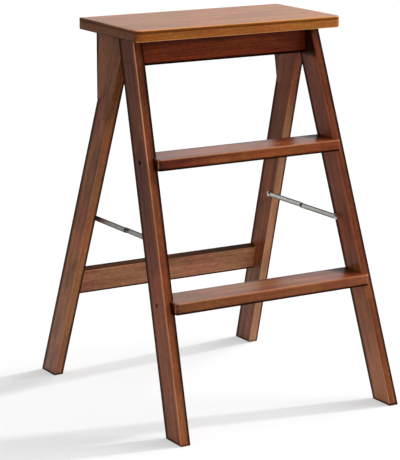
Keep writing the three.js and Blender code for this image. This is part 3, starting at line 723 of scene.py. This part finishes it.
POLE = 0.02 * MM  # radius of the smallest ring of a turned piece
SHANK = 1.9 * MM  # radius of the rivet's shank
HOLE_RADIUS = 3.7 * MM  # round the head of a tread screw
WELL_RADIUS = 4.3 * MM  # round the head of a seat screw
TREAD_SCREW = np.array([3.4, 2.2, 2, 38, 5]) * MM
SEAT_SCREW = np.array([4, 2.5, 2, 40, 5]) * MM
BRACE_SCREW = np.array([3.7, 1.9, 1.9, 15, 4]) * MM
TREAD_SCREW_SEAT = 5.4 * MM  # head's underside below the stile's outer face


def tread_screw_place(side, top):
    z = top - TREAD_THICKNESS / 2
    y = stile_front(z) + STILE_DEPTH / 2 + 2 * MM
    return on_side_face(side, y, z, -TREAD_SCREW_SEAT, outward=True)


def hinge_cutters(side, direction):
    """What a leaf and its knuckles need taken out of the board that carries them. They lie with
    local x on the hinge axis, local y up the stile's back face and local z into the stile."""
    centre = (side * (outer_at(ELBOW_Z) - SIDE_THICKNESS / 2), ELBOW_Y, ELBOW_Z)
    up = np.array([0, np.sin(STILE_LEAN), np.cos(STILE_LEAN)])
    forward = np.array([0, -np.cos(STILE_LEAN), np.sin(STILE_LEAN)])
    place = frame_at(centre, np.cross(up, forward), up, forward)
    half = HINGE_HALF_WIDTH
    top = ELBOW_DROP / np.cos(STILE_LEAN) - HINGE_CLEARANCE + HAIRLINE
    low, high = sorted([direction * LEAF_RECESS, -direction * 2 * MM])
    leaf = prism("recess", rectangle(half, 0, top), low, high, place)
    turn = np.eye(4)
    turn[:3, :3] = [[0, 0, 1], [0, 1, 0], [-1, 0, 0]]
    return [leaf, prism("knuckle", circle(KNUCKLE_RADIUS), -half, half, place @ turn)]


def pan_head_profile(head, head_height, shank, length, tip):
    """Half section of a screw: a point, a straight shank and a domed head whose crown follows
    the sine of a quarter turn above a short straight brim."""
    sweep = np.linspace(0, np.pi / 2, 10)[1:]
    brim = 0.4 * head_height
    crown = [(max(head * np.cos(angle) ** 0.75, POLE),
              brim + (head_height - brim) * np.sin(angle)) for angle in sweep]
    return [(POLE, -length), (shank * 0.9, tip - length), (shank, 1.2 * tip - length),
            (shank, 0), (head - 0.15 * MM, 0), (head, 0.15 * MM), (head, brim), *crown]


def cross_cutters(top, size, depth, matrix):
    """Two crossed bars that cut the recess for a driver."""
    long, short = size / 2, 0.13 * size
    return [
        prism("bar", rectangle(half, -other, other), top - depth, top + 2 * MM, matrix)
        for half, other in ((long, short), (short, long))]


def turned_piece(name, profile, matrix):
    return skin(name, moved(turned_rings(profile), matrix))


# Pieces


class StoolPieceOperator:
    """What the operators that build a piece share."""

    bl_options = {"REGISTER", "UNDO"}

    def execute(self, context):
        self.build(context.scene)
        return {"FINISHED"}


class STOOL_OT_seat(StoolPieceOperator, bpy.types.Operator):
    """Build the seat board, a rounded rectangle in plan with eased arrises"""

    bl_idname = "step_stool.seat"
    bl_label = "Seat board"

    def build(self, scene):
        edges = scene.stool_edges
        stations = end_stations(
            SEAT_LOW.z, SEAT_HIGH.z, edges.seat_rounding, [SEAT_HIGH.z - 6.5 * MM])
        under_upper_rounding = -ARC_STEPS - 3
        stations[2][under_upper_rounding] = -0.35
        piece = lofted(
            "seat_board_wood", stations, (SEAT_LOW.x, SEAT_HIGH.x, SEAT_LOW.y, SEAT_HIGH.y),
            [edges.seat_back_corner] * 2 + [edges.seat_front_corner] * 2,
            lambda a, b, along: (a, b, along))
        relight_and_reshade(piece, self.stain)
        finish = stained_wood(
            "seat wood", "seat", (0, 0.02, 0.64), ALONG_X, 2, scene.stool_wood,
            shade=SEAT_SHADE, gloss=0.13, drift=0.0)
        set_on(piece, "front_frame", "seat_board", finish)

    def stain(self, x, y, z, share):
        """The front is lighter towards the right, with a painted highlight on its upper arris and
        painted light on its lower one. Of the other edges only the upper left one is lighter, with
        a painted highlight, and the rest are darker."""
        front = y < SEAT_LOW.y + 6 * MM
        upper_left = (z > SEAT_HIGH.z - 8 * MM) & (x < 0) & (y <= SEAT_HIGH.y - 6 * MM)
        share = np.where(front & (share == 0), 0.07 + 0.15 * x, share)
        # Painted highlights stay on the front and the upper left arris, and the other edges turn
        # darker
        share = np.where(front | upper_left, share, -0.8 * np.abs(share))
        return np.where((share < 0) & ~front & upper_left, 0.3 * share, share)


class STOOL_OT_treads(StoolPieceOperator, bpy.types.Operator):
    """Build the two treads, with rounded noses and their back edge at the stiles' rake"""

    bl_idname = "step_stool.treads"
    bl_label = "Treads"
    front_lightening = {"lower": 0.06, "middle": 0}

    def build(self, scene):
        nose, heel = scene.stool_edges.tread_rounding, 1.5 * MM
        for number, (name, top) in enumerate(TREAD_TOPS.items()):
            bottom = top - TREAD_THICKNESS
            end = inner_at(bottom) + TREAD_HOUSING - END_GAP
            front = stile_front(top) - TREAD_NOSING
            near, nearer = end - 52 * MM, end - 26 * MM
            stations = self.stations(end, [near, nearer])
            corner = self.rounding(end, stations[0], TREAD_CORNER)

            def place(a, b, along):
                back = np.clip((a - front) / (STILE_DEPTH + TREAD_NOSING), 0, 1)
                return along, a + np.tan(STILE_LEAN) * (b - top) * back ** 8, b

            piece = lofted(
                f"{name}_tread_wood", stations,
                (front + corner, stile_back(top) - TREAD_BACK_INSET, bottom, top),
                # The nose arris gets a painted highlight and the others are darker; the front face
                # is lighter towards the right
                [heel, nose, nose, heel], place, (-0.7, 0.5, -1, -1),
                (0, self.front_lightening[name], 0, 0))
            relight_and_reshade(piece, self.stain, top, front, nearer)
            finish = stained_wood(
                f"{name} tread wood", "tread", (0, front, bottom), ALONG_X, 4 + 3 * number,
                scene.stool_wood, shade=TREAD_SHADE[name], gloss=0.18)
            set_on(piece, "front_frame", f"{name}_tread", finish)

    def rounding(self, end, position, radius):
        """How far a quarter circle of this radius draws a tread in near its ends."""
        inside = np.clip(radius - (end - np.abs(position)), 0, radius)
        return radius - np.sqrt(radius ** 2 - inside ** 2)

    def stations(self, end, near_stile):
        """The stations of a plain board, with more where its front corners round and beside
        the right stile."""
        position, draw_in, rim = end_stations(-end, end, END_ROUNDING)
        sweep = np.linspace(np.pi / 2, 0, 8, endpoint=False)
        corner = end - TREAD_CORNER * (1 - np.cos(sweep))
        more = np.concatenate([corner, -corner, near_stile])
        position = np.concatenate([position, more])
        order = np.argsort(position, kind="stable")
        position = position[order]
        draw_in = np.concatenate([draw_in, 0 * more])[order]
        rim = np.concatenate([rim, 0 * more])[order]
        return position, np.maximum(draw_in, self.rounding(end, position, END_ROUNDING)), rim

    def stain(self, x, y, z, share, top, front, near):
        """The front is lighter towards the right, and the top lies in painted shade beside the
        right stile."""
        plain_front = (0 < share) & (share < 0.1)
        share = np.where(plain_front, share * np.clip(0.8 + x / near, 0, 2), share)
        # Painted shade on the top beside the right stile
        dark = (x > near - 1 * MM) & (z > top - 1 * MM) & (y > front + 35 * MM)
        return np.where(dark, -0.9, share)


class STOOL_OT_stiles(StoolPieceOperator, bpy.types.Operator):
    """Build the two front stiles, with the treads' housings, screw holes and hinge recesses"""

    bl_idname = "step_stool.stiles"
    bl_label = "Front stiles"
    # The left stile's outer front arris and the right stile's inner front arris carry painted
    # highlights, the right stile's inner face gets painted light, and the other arrises are darker
    arrises = {"left": (-1, -1, 1, -1), "right": (-1, -1, -1, 0.3)}
    flats = {"left": (0, 0, -0.007, 0), "right": (0, 0, -0.03, 0.25)}
    seeds = {"left": 56, "right": 8}

    def build(self, scene):
        steps = []
        for top in TREAD_TOPS.values():
            low, high = top - TREAD_THICKNESS - END_GAP, top + END_GAP
            steps += [(low, 0), (low, TREAD_HOUSING), (high, TREAD_HOUSING), (high, 0)]
        steps += [(APRON_BOTTOM - 6 * MM, 0), (APRON_BOTTOM + 3 * MM, 0)]
        heights, depths = np.transpose(steps)
        stations = standing_stations(heights)
        position = stations[0]
        housing = np.pad(depths, (len(position) - len(depths)) // 2)
        radius = scene.stool_edges.stile_rounding
        for name, side in SIDES.items():
            piece = side_board(
                f"{name}_front_stile_wood", side, stations, SIDE_SLAB - housing,
                stile_front(position), stile_back(position),
                [0.7 * radius, 0.7 * radius, radius, radius], self.arrises[name],
                self.flats[name])
            relight_and_reshade(piece, self.stain, side)
            holes = [
                prism("hole", circle(HOLE_RADIUS, 40), 0, 8 * MM, tread_screw_place(side, top))
                for top in TREAD_TOPS.values()]
            carve(piece, holes + hinge_cutters(side, 1))
            finish = side_wood(
                f"{name} stile wood", "frame", side, stile_front, STILE_LEAN, self.seeds[name],
                scene.stool_wood, STILE_SHADE)
            set_on(piece, "front_frame", f"{name}_front_stile", finish)

    def stain(self, x, y, z, share, side):
        """Painted light on the right stile's inner face and inner front arris fades upwards, the
        painted highlight on the left stile's outer front arris is weaker below the middle tread,
        the left foot's front gets less painted shade, and the inner face lies in painted shadow
        beside the apron."""
        faded = share * np.clip(2.4 - z / (110 * MM), 0.5, 2.4)
        share = np.where((0 < share) & (share < 0.5), faded, share)
        arris = np.where(z > TREAD_TOPS["middle"], 0.9, 0.6)
        share = np.where(share == 1, arris, share)
        foot = (side < 0) & (z < 2 * MM) & (y < stile_front(z) + 3 * MM)
        share = np.where(foot, 0.3 * share, share)
        # Painted shadow on the inner face beside the apron
        inner = side * x < outer_at(z) - 0.9 * SIDE_SLAB
        return np.where(inner & (z > APRON_BOTTOM) & (z < BOARD_TOP - 1 * MM), -0.73, share)


class STOOL_OT_rear_legs(StoolPieceOperator, bpy.types.Operator):
    """Build the two rear legs, whose front edge turns at the elbow and follows the stile"""

    bl_idname = "step_stool.rear_legs"
    bl_label = "Rear legs"
    # The left leg's outer front arris and the right leg's inner front arris carry painted
    # highlights, the front faces get painted light, the right leg's most, and the other arrises are
    # darker
    arrises = {"left": (-1, -1, 0.3, -1), "right": (-1, -1, -0.7, 0.55)}
    flats = {"left": (0, 0, 0.08, 0), "right": (0, 0, 0.40, -0.02)}
    seeds = {"left": 31, "right": 63}

    def build(self, scene):
        elbow = (leg_front(0) - butt_face(0)) / (np.tan(LEG_LEAN) + np.tan(STILE_LEAN))
        tip = CHEEK_TIP_Z
        stations = standing_stations([360 * MM, tip - 6 * MM, tip, tip + 2 * MM, elbow])
        position = stations[0]
        front = np.maximum(leg_front(position), butt_face(position))
        radii = np.full((len(position), 4), 0.7 * scene.stool_edges.stile_rounding)
        radii[position > tip, :2] = TIGHT_ROUNDING
        for name, side in SIDES.items():
            piece = side_board(
                f"{name}_rear_leg_wood", side, stations, SIDE_SLAB, front, leg_back(position),
                radii, self.arrises[name], self.flats[name])
            relight_and_reshade(piece, self.stain)
            carve(piece, hinge_cutters(side, -1))
            finish = side_wood(
                f"{name} leg wood", "rear", side, leg_back, -LEG_LEAN, self.seeds[name],
                scene.stool_wood, LEG_SHADE)
            set_on(piece, "rear_frame", f"{name}_rear_leg", finish)

    def stain(self, x, y, z, share):
        """The painted highlights and painted light at the front fade out towards the cheek's tip,
        the right foot's front gets less painted shade, and the edge that the cheek covers is plain."""
        faded = share * np.clip((CHEEK_TIP_Z - z) / (140 * MM), 0, 1)
        share = np.where(share > 0, faded, share)
        foot = (x > 0) & (z < 2 * MM) & (y < leg_front(z) + 3 * MM)
        share = np.where(foot, 0.3 * share, share)
        return np.where((z > CHEEK_TIP_Z) & (y > leg_back(z) - 12 * MM), 0, share)


class STOOL_OT_cheeks(StoolPieceOperator, bpy.types.Operator):
    """Build the two wedges on the legs' back edges that carry the seat's back half"""

    bl_idname = "step_stool.cheeks"
    bl_label = "Cheeks"

    def build(self, scene):
        position, draw_in, rim = end_stations(CHEEK_TIP_Z, BOARD_TOP, 0.3 * MM)
        stations = position, np.minimum(draw_in, 0.5 * MM), rim
        seam = leg_back(position) + 0.15 * MM / np.cos(LEG_LEAN)
        share = (position - CHEEK_TIP_Z) / (BOARD_TOP - CHEEK_TIP_Z)
        back = (1 - share) * (leg_back(CHEEK_TIP_Z) + CHEEK_TIP_DEPTH)
        back = back + share * (leg_back(BOARD_TOP) + CHEEK_TOP_DEPTH)
        radii = [1.6 * MM, 1.6 * MM, TIGHT_ROUNDING, TIGHT_ROUNDING]
        for name, side in SIDES.items():
            piece = side_board(
                f"{name}_rear_cheek_wood", side, stations, CHEEK_THICKNESS / np.cos(SPLAY_ANGLE),
                seam, back, radii, (-1, -1, 0, 0))
            finish = side_wood(
                f"{name} cheek wood", "rear", side, leg_back, -LEG_LEAN, 18 + side,
                scene.stool_wood, LEG_SHADE, rings=1.6)
            set_on(piece, "rear_frame", f"{name}_rear_cheek", finish)


class STOOL_OT_apron(StoolPieceOperator, bpy.types.Operator):
    """Build the apron under the seat's front, with the wells of the seat's screws"""

    bl_idname = "step_stool.apron"
    bl_label = "Apron"

    def build(self, scene):
        front = stile_front(SEAT_BOTTOM) + APRON_SETBACK
        piece = cross_board(
            "front_apron_wood", (front, front + APRON_THICKNESS, APRON_BOTTOM, BOARD_TOP),
            [0.5 * MM, 0.5 * MM, 2.5 * MM, 2.5 * MM], lambda a, b: (a, b), (0, 0, -1, -1))
        wells = []
        for side in SIDES.values():
            well = (side * SEAT_SCREW_X, front + APRON_THICKNESS / 2, 0)
            wells.append(prism(
                "well", circle(WELL_RADIUS, 40), APRON_BOTTOM - 5 * MM, SEAT_SCREW_WELL_TOP,
                frame_at(well, (1, 0, 0), (0, 1, 0), (0, 0, 1))))
        carve(piece, wells)
        finish = stained_wood(
            "apron wood", "apron", (0, front, APRON_BOTTOM), ALONG_X, 23, scene.stool_wood,
            shade=APRON_SHADE, gloss=0.10, shade_axis=2, drift=0.0)
        set_on(piece, "front_frame", "front_apron", finish)


class STOOL_OT_rail(StoolPieceOperator, bpy.types.Operator):
    """Build the rail between the rear legs, tilted as they are"""

    bl_idname = "step_stool.rail"
    bl_label = "Rear rail"

    def build(self, scene):
        cos, sin = np.cos(LEG_LEAN), np.sin(LEG_LEAN)
        inset = RAIL_INSET + RAIL_THICKNESS / 2
        centre_y = leg_back(RAIL_MEET_Z) - inset * cos
        centre_z = RAIL_MEET_Z - inset * sin
        piece = cross_board(
            "rear_rail_wood",
            (-RAIL_THICKNESS / 2, RAIL_THICKNESS / 2, -RAIL_HEIGHT / 2, RAIL_HEIGHT / 2),
            [2 * MM] * 4,
            lambda a, b: (centre_y + a * cos - b * sin, centre_z + a * sin + b * cos),
            # The top face lies in painted shade, the front face and its upper arris get a little
            # painted light, and the other arrises are darker
            (-1, 0.1, -1, -1), (-0.73, 0.08, 0, 0))
        finish = stained_wood(
            "rail wood", "rear", (0, centre_y, centre_z), (LEG_LEAN, 0, 0), 59, scene.stool_wood)
        set_on(piece, "rear_frame", "rear_rail", finish)


class STOOL_OT_sunk_screws(StoolPieceOperator, bpy.types.Operator):
    """Build the screws sunk in the stiles' outer faces and in the apron's lower edge"""

    bl_idname = "step_stool.sunk_screws"
    bl_label = "Sunk screws"

    def build(self, scene):
        steel = plated_metal("dark screw steel", scene.stool_metal.screw_steel, 0.32, stain=0.5)
        for name, side in SIDES.items():
            for tread, top in TREAD_TOPS.items():
                node = f"{name}_{tread}_tread_screw"
                matrix = tread_screw_place(side, top)
                piece = turned_piece(f"{node}_steel", pan_head_profile(*TREAD_SCREW), matrix)
                carve(piece, [prism("socket", circle(2 * MM, 6), 0.8 * MM, 4 * MM, matrix)])
                set_on(piece, "front_frame", node, steel)
            node = f"{name}_seat_screw"
            low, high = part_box(node)
            middle = ((low.x + high.x) / 2, (low.y + high.y) / 2, low.z + 2.5 * MM)
            matrix = frame_at(middle, (-1, 0, 0), (0, 1, 0), (0, 0, -1))
            piece = turned_piece(f"{node}_steel", pan_head_profile(*SEAT_SCREW), matrix)
            carve(piece, cross_cutters(2.5 * MM, 4.2 * MM, 1.2 * MM, matrix))
            set_on(piece, "front_frame", node, steel)


def smooth_step(value):
    """Three times the square less twice the cube, of the value held between 0 and 1."""
    value = np.clip(value, 0, 1)
    return value * value * (3 - 2 * value)


def link_rings(length, groove):
    """A strip carried along local x from its end pivot. Its half height follows a quarter
    ellipse near each end. Its section is a flat bar with rounded edges, and its inward face
    sinks by the groove's depth times a smooth step across and along the groove. The long
    edges are darker, and the side towards the wood lies in painted shade."""
    low, high = -LINK_REACH, length + LINK_REACH
    tip = 4.4 * MM
    ends = tip * (1 - np.cos(np.linspace(0, np.pi / 2, 14)))
    straight = np.linspace(low + tip, high - tip, 74)[1:-1]
    u = np.concatenate([low + ends, straight, (high - ends)[::-1]])
    away = np.minimum(u - low, high - u)
    bend = np.clip(1 - away / tip, 0, 1)
    rise = LINK_HEIGHT / 2 * np.sqrt(np.clip(1 - bend ** 2, 0.0004, 1))
    across = np.linspace(-1, 1, 25)
    edge = 0.35 * MM
    v = rise[:, None] * across
    width_share = np.clip((rise[:, None] - np.abs(v)) / edge, 0, 1)
    round_off = edge * (1 - np.sqrt(np.clip(1 - (1 - width_share) ** 2, 0, 1)))
    run_in = smooth_step((away - LINK_REACH - GROOVE_MARGIN) / (2.5 * MM))
    step = smooth_step((GROOVE_HALF_HEIGHT - np.abs(v)) / (0.7 * MM))
    top = LINK_THICKNESS - round_off - groove * step * run_in[:, None]
    u = np.broadcast_to(u[:, None], v.shape)
    upper = np.stack([u, v, top], axis=-1)
    lower = np.stack([u, v[:, ::-1], round_off[:, ::-1]], axis=-1)
    # Darker long edges, and painted shade on the whole side towards the wood
    edges = -0.9 * np.clip((np.abs(across) - 0.45) / 0.35, 0, 1)
    inside = np.clip((away - 0.8 * LINK_REACH) / (2 * MM), 0, 1)[:, None]
    dark_edges_and_shade = np.concatenate([edges * inside, 0.5 * edges[::-1] - 0.4 + 0 * v], axis=1)
    return np.concatenate([upper, lower], axis=1), dark_edges_and_shade


def spacer_rings(thickness):
    """A washer: its section is a rounded rectangle between bore and rim, carried round."""
    inner, outer, edge = 2.2 * MM, 4.2 * MM, 0.2 * MM
    return turned_rings([
        (inner, edge), (inner, thickness - edge), (inner + edge, thickness),
        (outer - edge, thickness), (outer, thickness - edge), (outer, edge),
        (outer - edge, 0), (inner + edge, 0)])


def rivet_head_profile():
    """A shank and a dome that follows a quarter ellipse."""
    base = LINK_THICKNESS + HAIRLINE
    dome = [(max(3.4 * MM * np.cos(angle), POLE), base + 1.3 * MM * np.sin(angle))
            for angle in np.linspace(0, np.pi / 2, 9)]
    return [(POLE, 0), (SHANK, 0), (SHANK, base), *dome]


def rivet_tail_profile():
    """A flattened foot with a rounded rim, and the shank above it."""
    low = -HAIRLINE - 0.7 * MM
    return [(POLE, low), (3.0 * MM, low), (3.3 * MM, low + 0.15 * MM),
            (3.4 * MM, low + 0.4 * MM), (3.4 * MM, -HAIRLINE), (SHANK, -HAIRLINE),
            (SHANK, LINK_THICKNESS), (POLE, LINK_THICKNESS)]


class STOOL_OT_braces(StoolPieceOperator, bpy.types.Operator):
    """Build the two-link braces: pressed strips, spacers, rivet and screws"""

    bl_idname = "step_stool.braces"
    bl_label = "Braces"

    def build(self, scene):
        metal = scene.stool_metal
        nickel = plated_metal("nickel strip", metal.nickel, 0.24, (0, 0, np.pi / 2))
        bright = plated_metal("bright nickel", scaled_colour(metal.nickel, 1.2), 0.2, stain=0.2)
        dark = plated_metal("dark rivet steel", metal.screw_steel, 0.3, stain=0.4)
        front = stile_back(BRACE_MEAN_HEIGHT) - BRACE_STILE_INSET
        rear = leg_front(BRACE_MEAN_HEIGHT) + BRACE_LEG_INSET
        middle = (front + rear) / 2
        ends = (("front", front, FRONT_LIFT), ("rear", rear, REAR_LIFT))
        for name, side in SIDES.items():
            z = BRACE_HEIGHTS[name]
            for end, y, lift in ends:
                stem, board = f"{name}_brace_{end}", f"{end}_frame"
                strip, dark_edges_and_shade = link_rings((rear - front) / 2, metal.groove_depth)
                strip[..., 0] *= side * np.sign(y - middle)
                piece = skin(
                    f"{stem}_strip", moved(strip, on_side_face(side, y, z, lift)), dark_edges_and_shade)
                set_on(piece, f"{name}_{end}_link", f"{stem}_link", nickel)
                seat = on_side_face(side, y, z, lift + LINK_THICKNESS + HAIRLINE)
                piece = turned_piece(f"{stem}_screw_head", pan_head_profile(*BRACE_SCREW), seat)
                carve(piece, cross_cutters(1.9 * MM, 3.8 * MM, 1.1 * MM, seat))
                set_on(piece, board, f"{stem}_screw", bright)
                ring = moved(spacer_rings(lift - 2 * HAIRLINE),
                             on_side_face(side, y, z, HAIRLINE))
                piece = skin(f"{stem}_washer", ring, closed=True)
                set_on(piece, board, f"{stem}_spacer", bright)
            halves = (("dome", "head", "front", rivet_head_profile(), FRONT_LIFT),
                      ("foot", "tail", "rear", rivet_tail_profile(), REAR_LIFT))
            for shape, half, end, profile, lift in halves:
                piece = turned_piece(f"{name}_brace_rivet_{shape}", profile,
                                     on_side_face(side, middle, z, lift))
                set_on(piece, f"{name}_{end}_link", f"{name}_brace_rivet_{half}",
                       dark)


class STOOL_OT_hidden_fittings(StoolPieceOperator, bpy.types.Operator):
    """Give the dowels, elbow hinges and hinge screws of the frame their finishes"""

    bl_idname = "step_stool.hidden_fittings"
    bl_label = "Dowels and hinges"

    def build(self, scene):
        metal = scene.stool_metal
        dowel = bare_dowel_wood("dowel beech")
        hinge = plated_metal("rolled hinge steel", metal.hinge_steel, 0.3)
        screw = plated_metal("oiled hinge screw steel", metal.screw_steel, 0.35, stain=0.5)
        for name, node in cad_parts.items():
            if node.hide_render:
                continue
            node.data.materials.clear()
            if "dowel" in name:
                node.data.materials.append(dowel)
            elif name.endswith(("leaf", "pin")):
                node.data.materials.append(hinge)
            else:
                node.data.materials.append(screw)


# Stage


FLOOR_HALF = 14.0
FLOOR_WHITE = 0.4
FLOOR_BOUNCE = 0.31  # its white for the light that it throws back
FLOOR_GLOW = 0.475
KEY_DIRECTION = (2.18, -0.114, 1.0)
FRONT_DIRECTION = (0.30, -0.80, 0.45)
STUDIO_BRIGHT_SIDE = (0.75, 0.45, 0.48)
CAMERA_PLACE = (-1.770181, -2.869837, 1.076335)
CAMERA_YAW, CAMERA_PITCH, CAMERA_ROLL = 0.54451, 0.231317, 0.003532


def seen_directly(n):
    """1 for rays that show the background: the camera's, mirrored and transmitted ones."""
    ray = n.node("LightPath").outputs
    shown = n.math("MAXIMUM", ray["Is Camera Ray"], ray["Is Glossy Ray"])
    return n.math("MAXIMUM", shown, ray["Is Transmission Ray"])


def mirrored_level(n, value, dark, bright):
    """1 for what the camera sees, and for mirrored rays a smooth change from nearly dark to
    bright as the value goes from one place to the other."""
    mirrored = n.spread(value, dark, bright, 0.04)
    return n.spread(n.node("LightPath").outputs["Is Glossy Ray"], 0, 1, 1.0, mirrored, "LINEAR")


def make_lamp(name, strength, towards, spread):
    """A distant lamp in this direction, as wide in the sky as its spread in degrees."""
    lamp = added(name, bpy.data.lights.new(name, "SUN"))
    lamp.data.energy = strength
    lamp.data.angle = np.radians(spread)
    lamp.rotation_euler = Vector(towards).to_track_quat("Z", "Y").to_euler()
    return lamp


def make_floor():
    """A square grid of points just under the feet, in white that keeps the shadow. It throws less
    light back on the stool than it shows, and glows where it is looked at."""
    corner = np.linspace(-FLOOR_HALF, FLOOR_HALF, 3)
    x, y = np.meshgrid(corner, corner)
    points = np.column_stack([x.ravel(), y.ravel(), np.full(9, -0.2 * MM)])
    faces = np.array([0, 1, 3, 4])[:, None] + np.array([0, 1, 4, 3])
    mesh = bpy.data.meshes.new("floor")
    mesh.from_pydata(points.tolist(), [], faces.tolist())
    floor = added("floor", mesh)
    n = Nodes(bpy.data.materials.new("white floor"))
    n.tree.nodes.remove(n.shader)
    bounced = n.node("LightPath").outputs["Is Diffuse Ray"]
    white = n.spread(bounced, 0, 1, FLOOR_WHITE, FLOOR_BOUNCE, "LINEAR")
    away = n.node("VectorMath", {0: n.place["Object"]}, operation="LENGTH").outputs["Value"]
    level = n.math("MULTIPLY", seen_directly(n), mirrored_level(n, away, 1.35, 0.4))
    diffuse = n.node("BsdfDiffuse", {"Color": white})
    glow = n.node("Emission", {"Strength": n.math("MULTIPLY", level, FLOOR_GLOW)})
    total = n.node("AddShader", {0: diffuse.outputs[0], 1: glow.outputs[0]})
    n.feed(n.tree.nodes["Material Output"].inputs["Surface"], total.outputs[0])
    mesh.materials.append(n.owner)
    return floor


def make_world(scene, ambient):
    """White where the camera looks, a studio with a dim side where mirror-like rays look,
    and an even level for the rest."""
    scene.world = bpy.data.worlds.new("studio")
    n = Nodes(scene.world)
    turned = n.node(
        "VectorMath", {0: n.place["Generated"], 1: STUDIO_BRIGHT_SIDE},
        operation="DOT_PRODUCT").outputs["Value"]
    level = n.spread(
        seen_directly(n), 0, 1, ambient, mirrored_level(n, turned, 0.0, 0.6), "LINEAR")
    background = n.tree.nodes["Background"]
    n.feed(background.inputs["Strength"], level)
    n.feed(background.inputs["Color"], (1, 1, 1))


def make_camera(scene, lens):
    """The photograph's viewpoint: place, heading, pitch and a slight roll."""
    yaw, pitch, roll = CAMERA_YAW, CAMERA_PITCH, CAMERA_ROLL
    look = Vector((np.sin(yaw) * np.cos(pitch), np.cos(yaw) * np.cos(pitch), -np.sin(pitch)))
    level = look.cross(Vector((0, 0, 1))).normalized()
    upright = level.cross(look)
    across = np.cos(roll) * level + np.sin(roll) * upright
    up = np.cos(roll) * upright - np.sin(roll) * level
    camera = added("camera", bpy.data.cameras.new("camera"))
    camera.data.lens = lens
    camera.data.clip_start = 0.05
    camera.data.clip_end = 60
    matrix = Matrix((across, up, -look)).transposed().to_4x4()
    matrix.translation = CAMERA_PLACE
    camera.matrix_world = matrix
    scene.camera = camera
    scene.view_settings.view_transform = "Standard"


class STOOL_OT_stage(StoolPieceOperator, bpy.types.Operator):
    """Set the white floor, the lamps, the studio's even light and the camera"""

    bl_idname = "step_stool.stage"
    bl_label = "Stage"

    def build(self, scene):
        settings = scene.stool_stage
        floor = make_floor()
        make_world(scene, settings.ambient)
        make_lamp("key light", settings.key_strength, KEY_DIRECTION, spread=3)
        wide = make_lamp("floor light", settings.floor_strength, KEY_DIRECTION, spread=50)
        only_floor = bpy.data.collections.new("lit by the floor light")
        only_floor.objects.link(floor)
        wide.light_linking.receiver_collection = only_floor
        front = make_lamp("front light", settings.front_strength, FRONT_DIRECTION, spread=90)
        front.visible_glossy = False
        make_camera(scene, settings.lens)


OPERATORS = (
    STOOL_OT_seat, STOOL_OT_treads, STOOL_OT_stiles, STOOL_OT_rear_legs, STOOL_OT_cheeks,
    STOOL_OT_apron, STOOL_OT_rail, STOOL_OT_sunk_screws, STOOL_OT_braces,
    STOOL_OT_hidden_fittings, STOOL_OT_stage,
)
SETTINGS = {
    "stool_wood": StoolWoodSettings,
    "stool_edges": StoolEdgeSettings,
    "stool_metal": StoolMetalSettings,
    "stool_stage": StoolStageSettings,
}


class STOOL_PT_panel(bpy.types.Panel):
    """Lists the stool's settings and pieces"""

    bl_idname = "STOOL_PT_panel"
    bl_label = "Step Stool"
    bl_space_type = "VIEW_3D"
    bl_region_type = "UI"
    bl_category = "Step Stool"

    def draw(self, context):
        for name in SETTINGS:
            settings = getattr(context.scene, name)
            box = self.layout.box()
            for key in settings.__annotations__:
                box.prop(settings, key)
        for operator in OPERATORS:
            self.layout.operator(operator.bl_idname)


def register():
    for settings in SETTINGS.values():
        bpy.utils.register_class(settings)
    for name, settings in SETTINGS.items():
        setattr(bpy.types.Scene, name, bpy.props.PointerProperty(type=settings))
    for operator in OPERATORS:
        bpy.utils.register_class(operator)
    bpy.utils.register_class(STOOL_PT_panel)


def unregister():
    bpy.utils.unregister_class(STOOL_PT_panel)
    for operator in reversed(OPERATORS):
        bpy.utils.unregister_class(operator)
    for name, settings in SETTINGS.items():
        delattr(bpy.types.Scene, name)
        bpy.utils.unregister_class(settings)


def main():
    register()
    for operator in OPERATORS:
        group, name = operator.bl_idname.split(".")
        getattr(getattr(bpy.ops, group), name)()


if __name__ == "__main__":
    main()
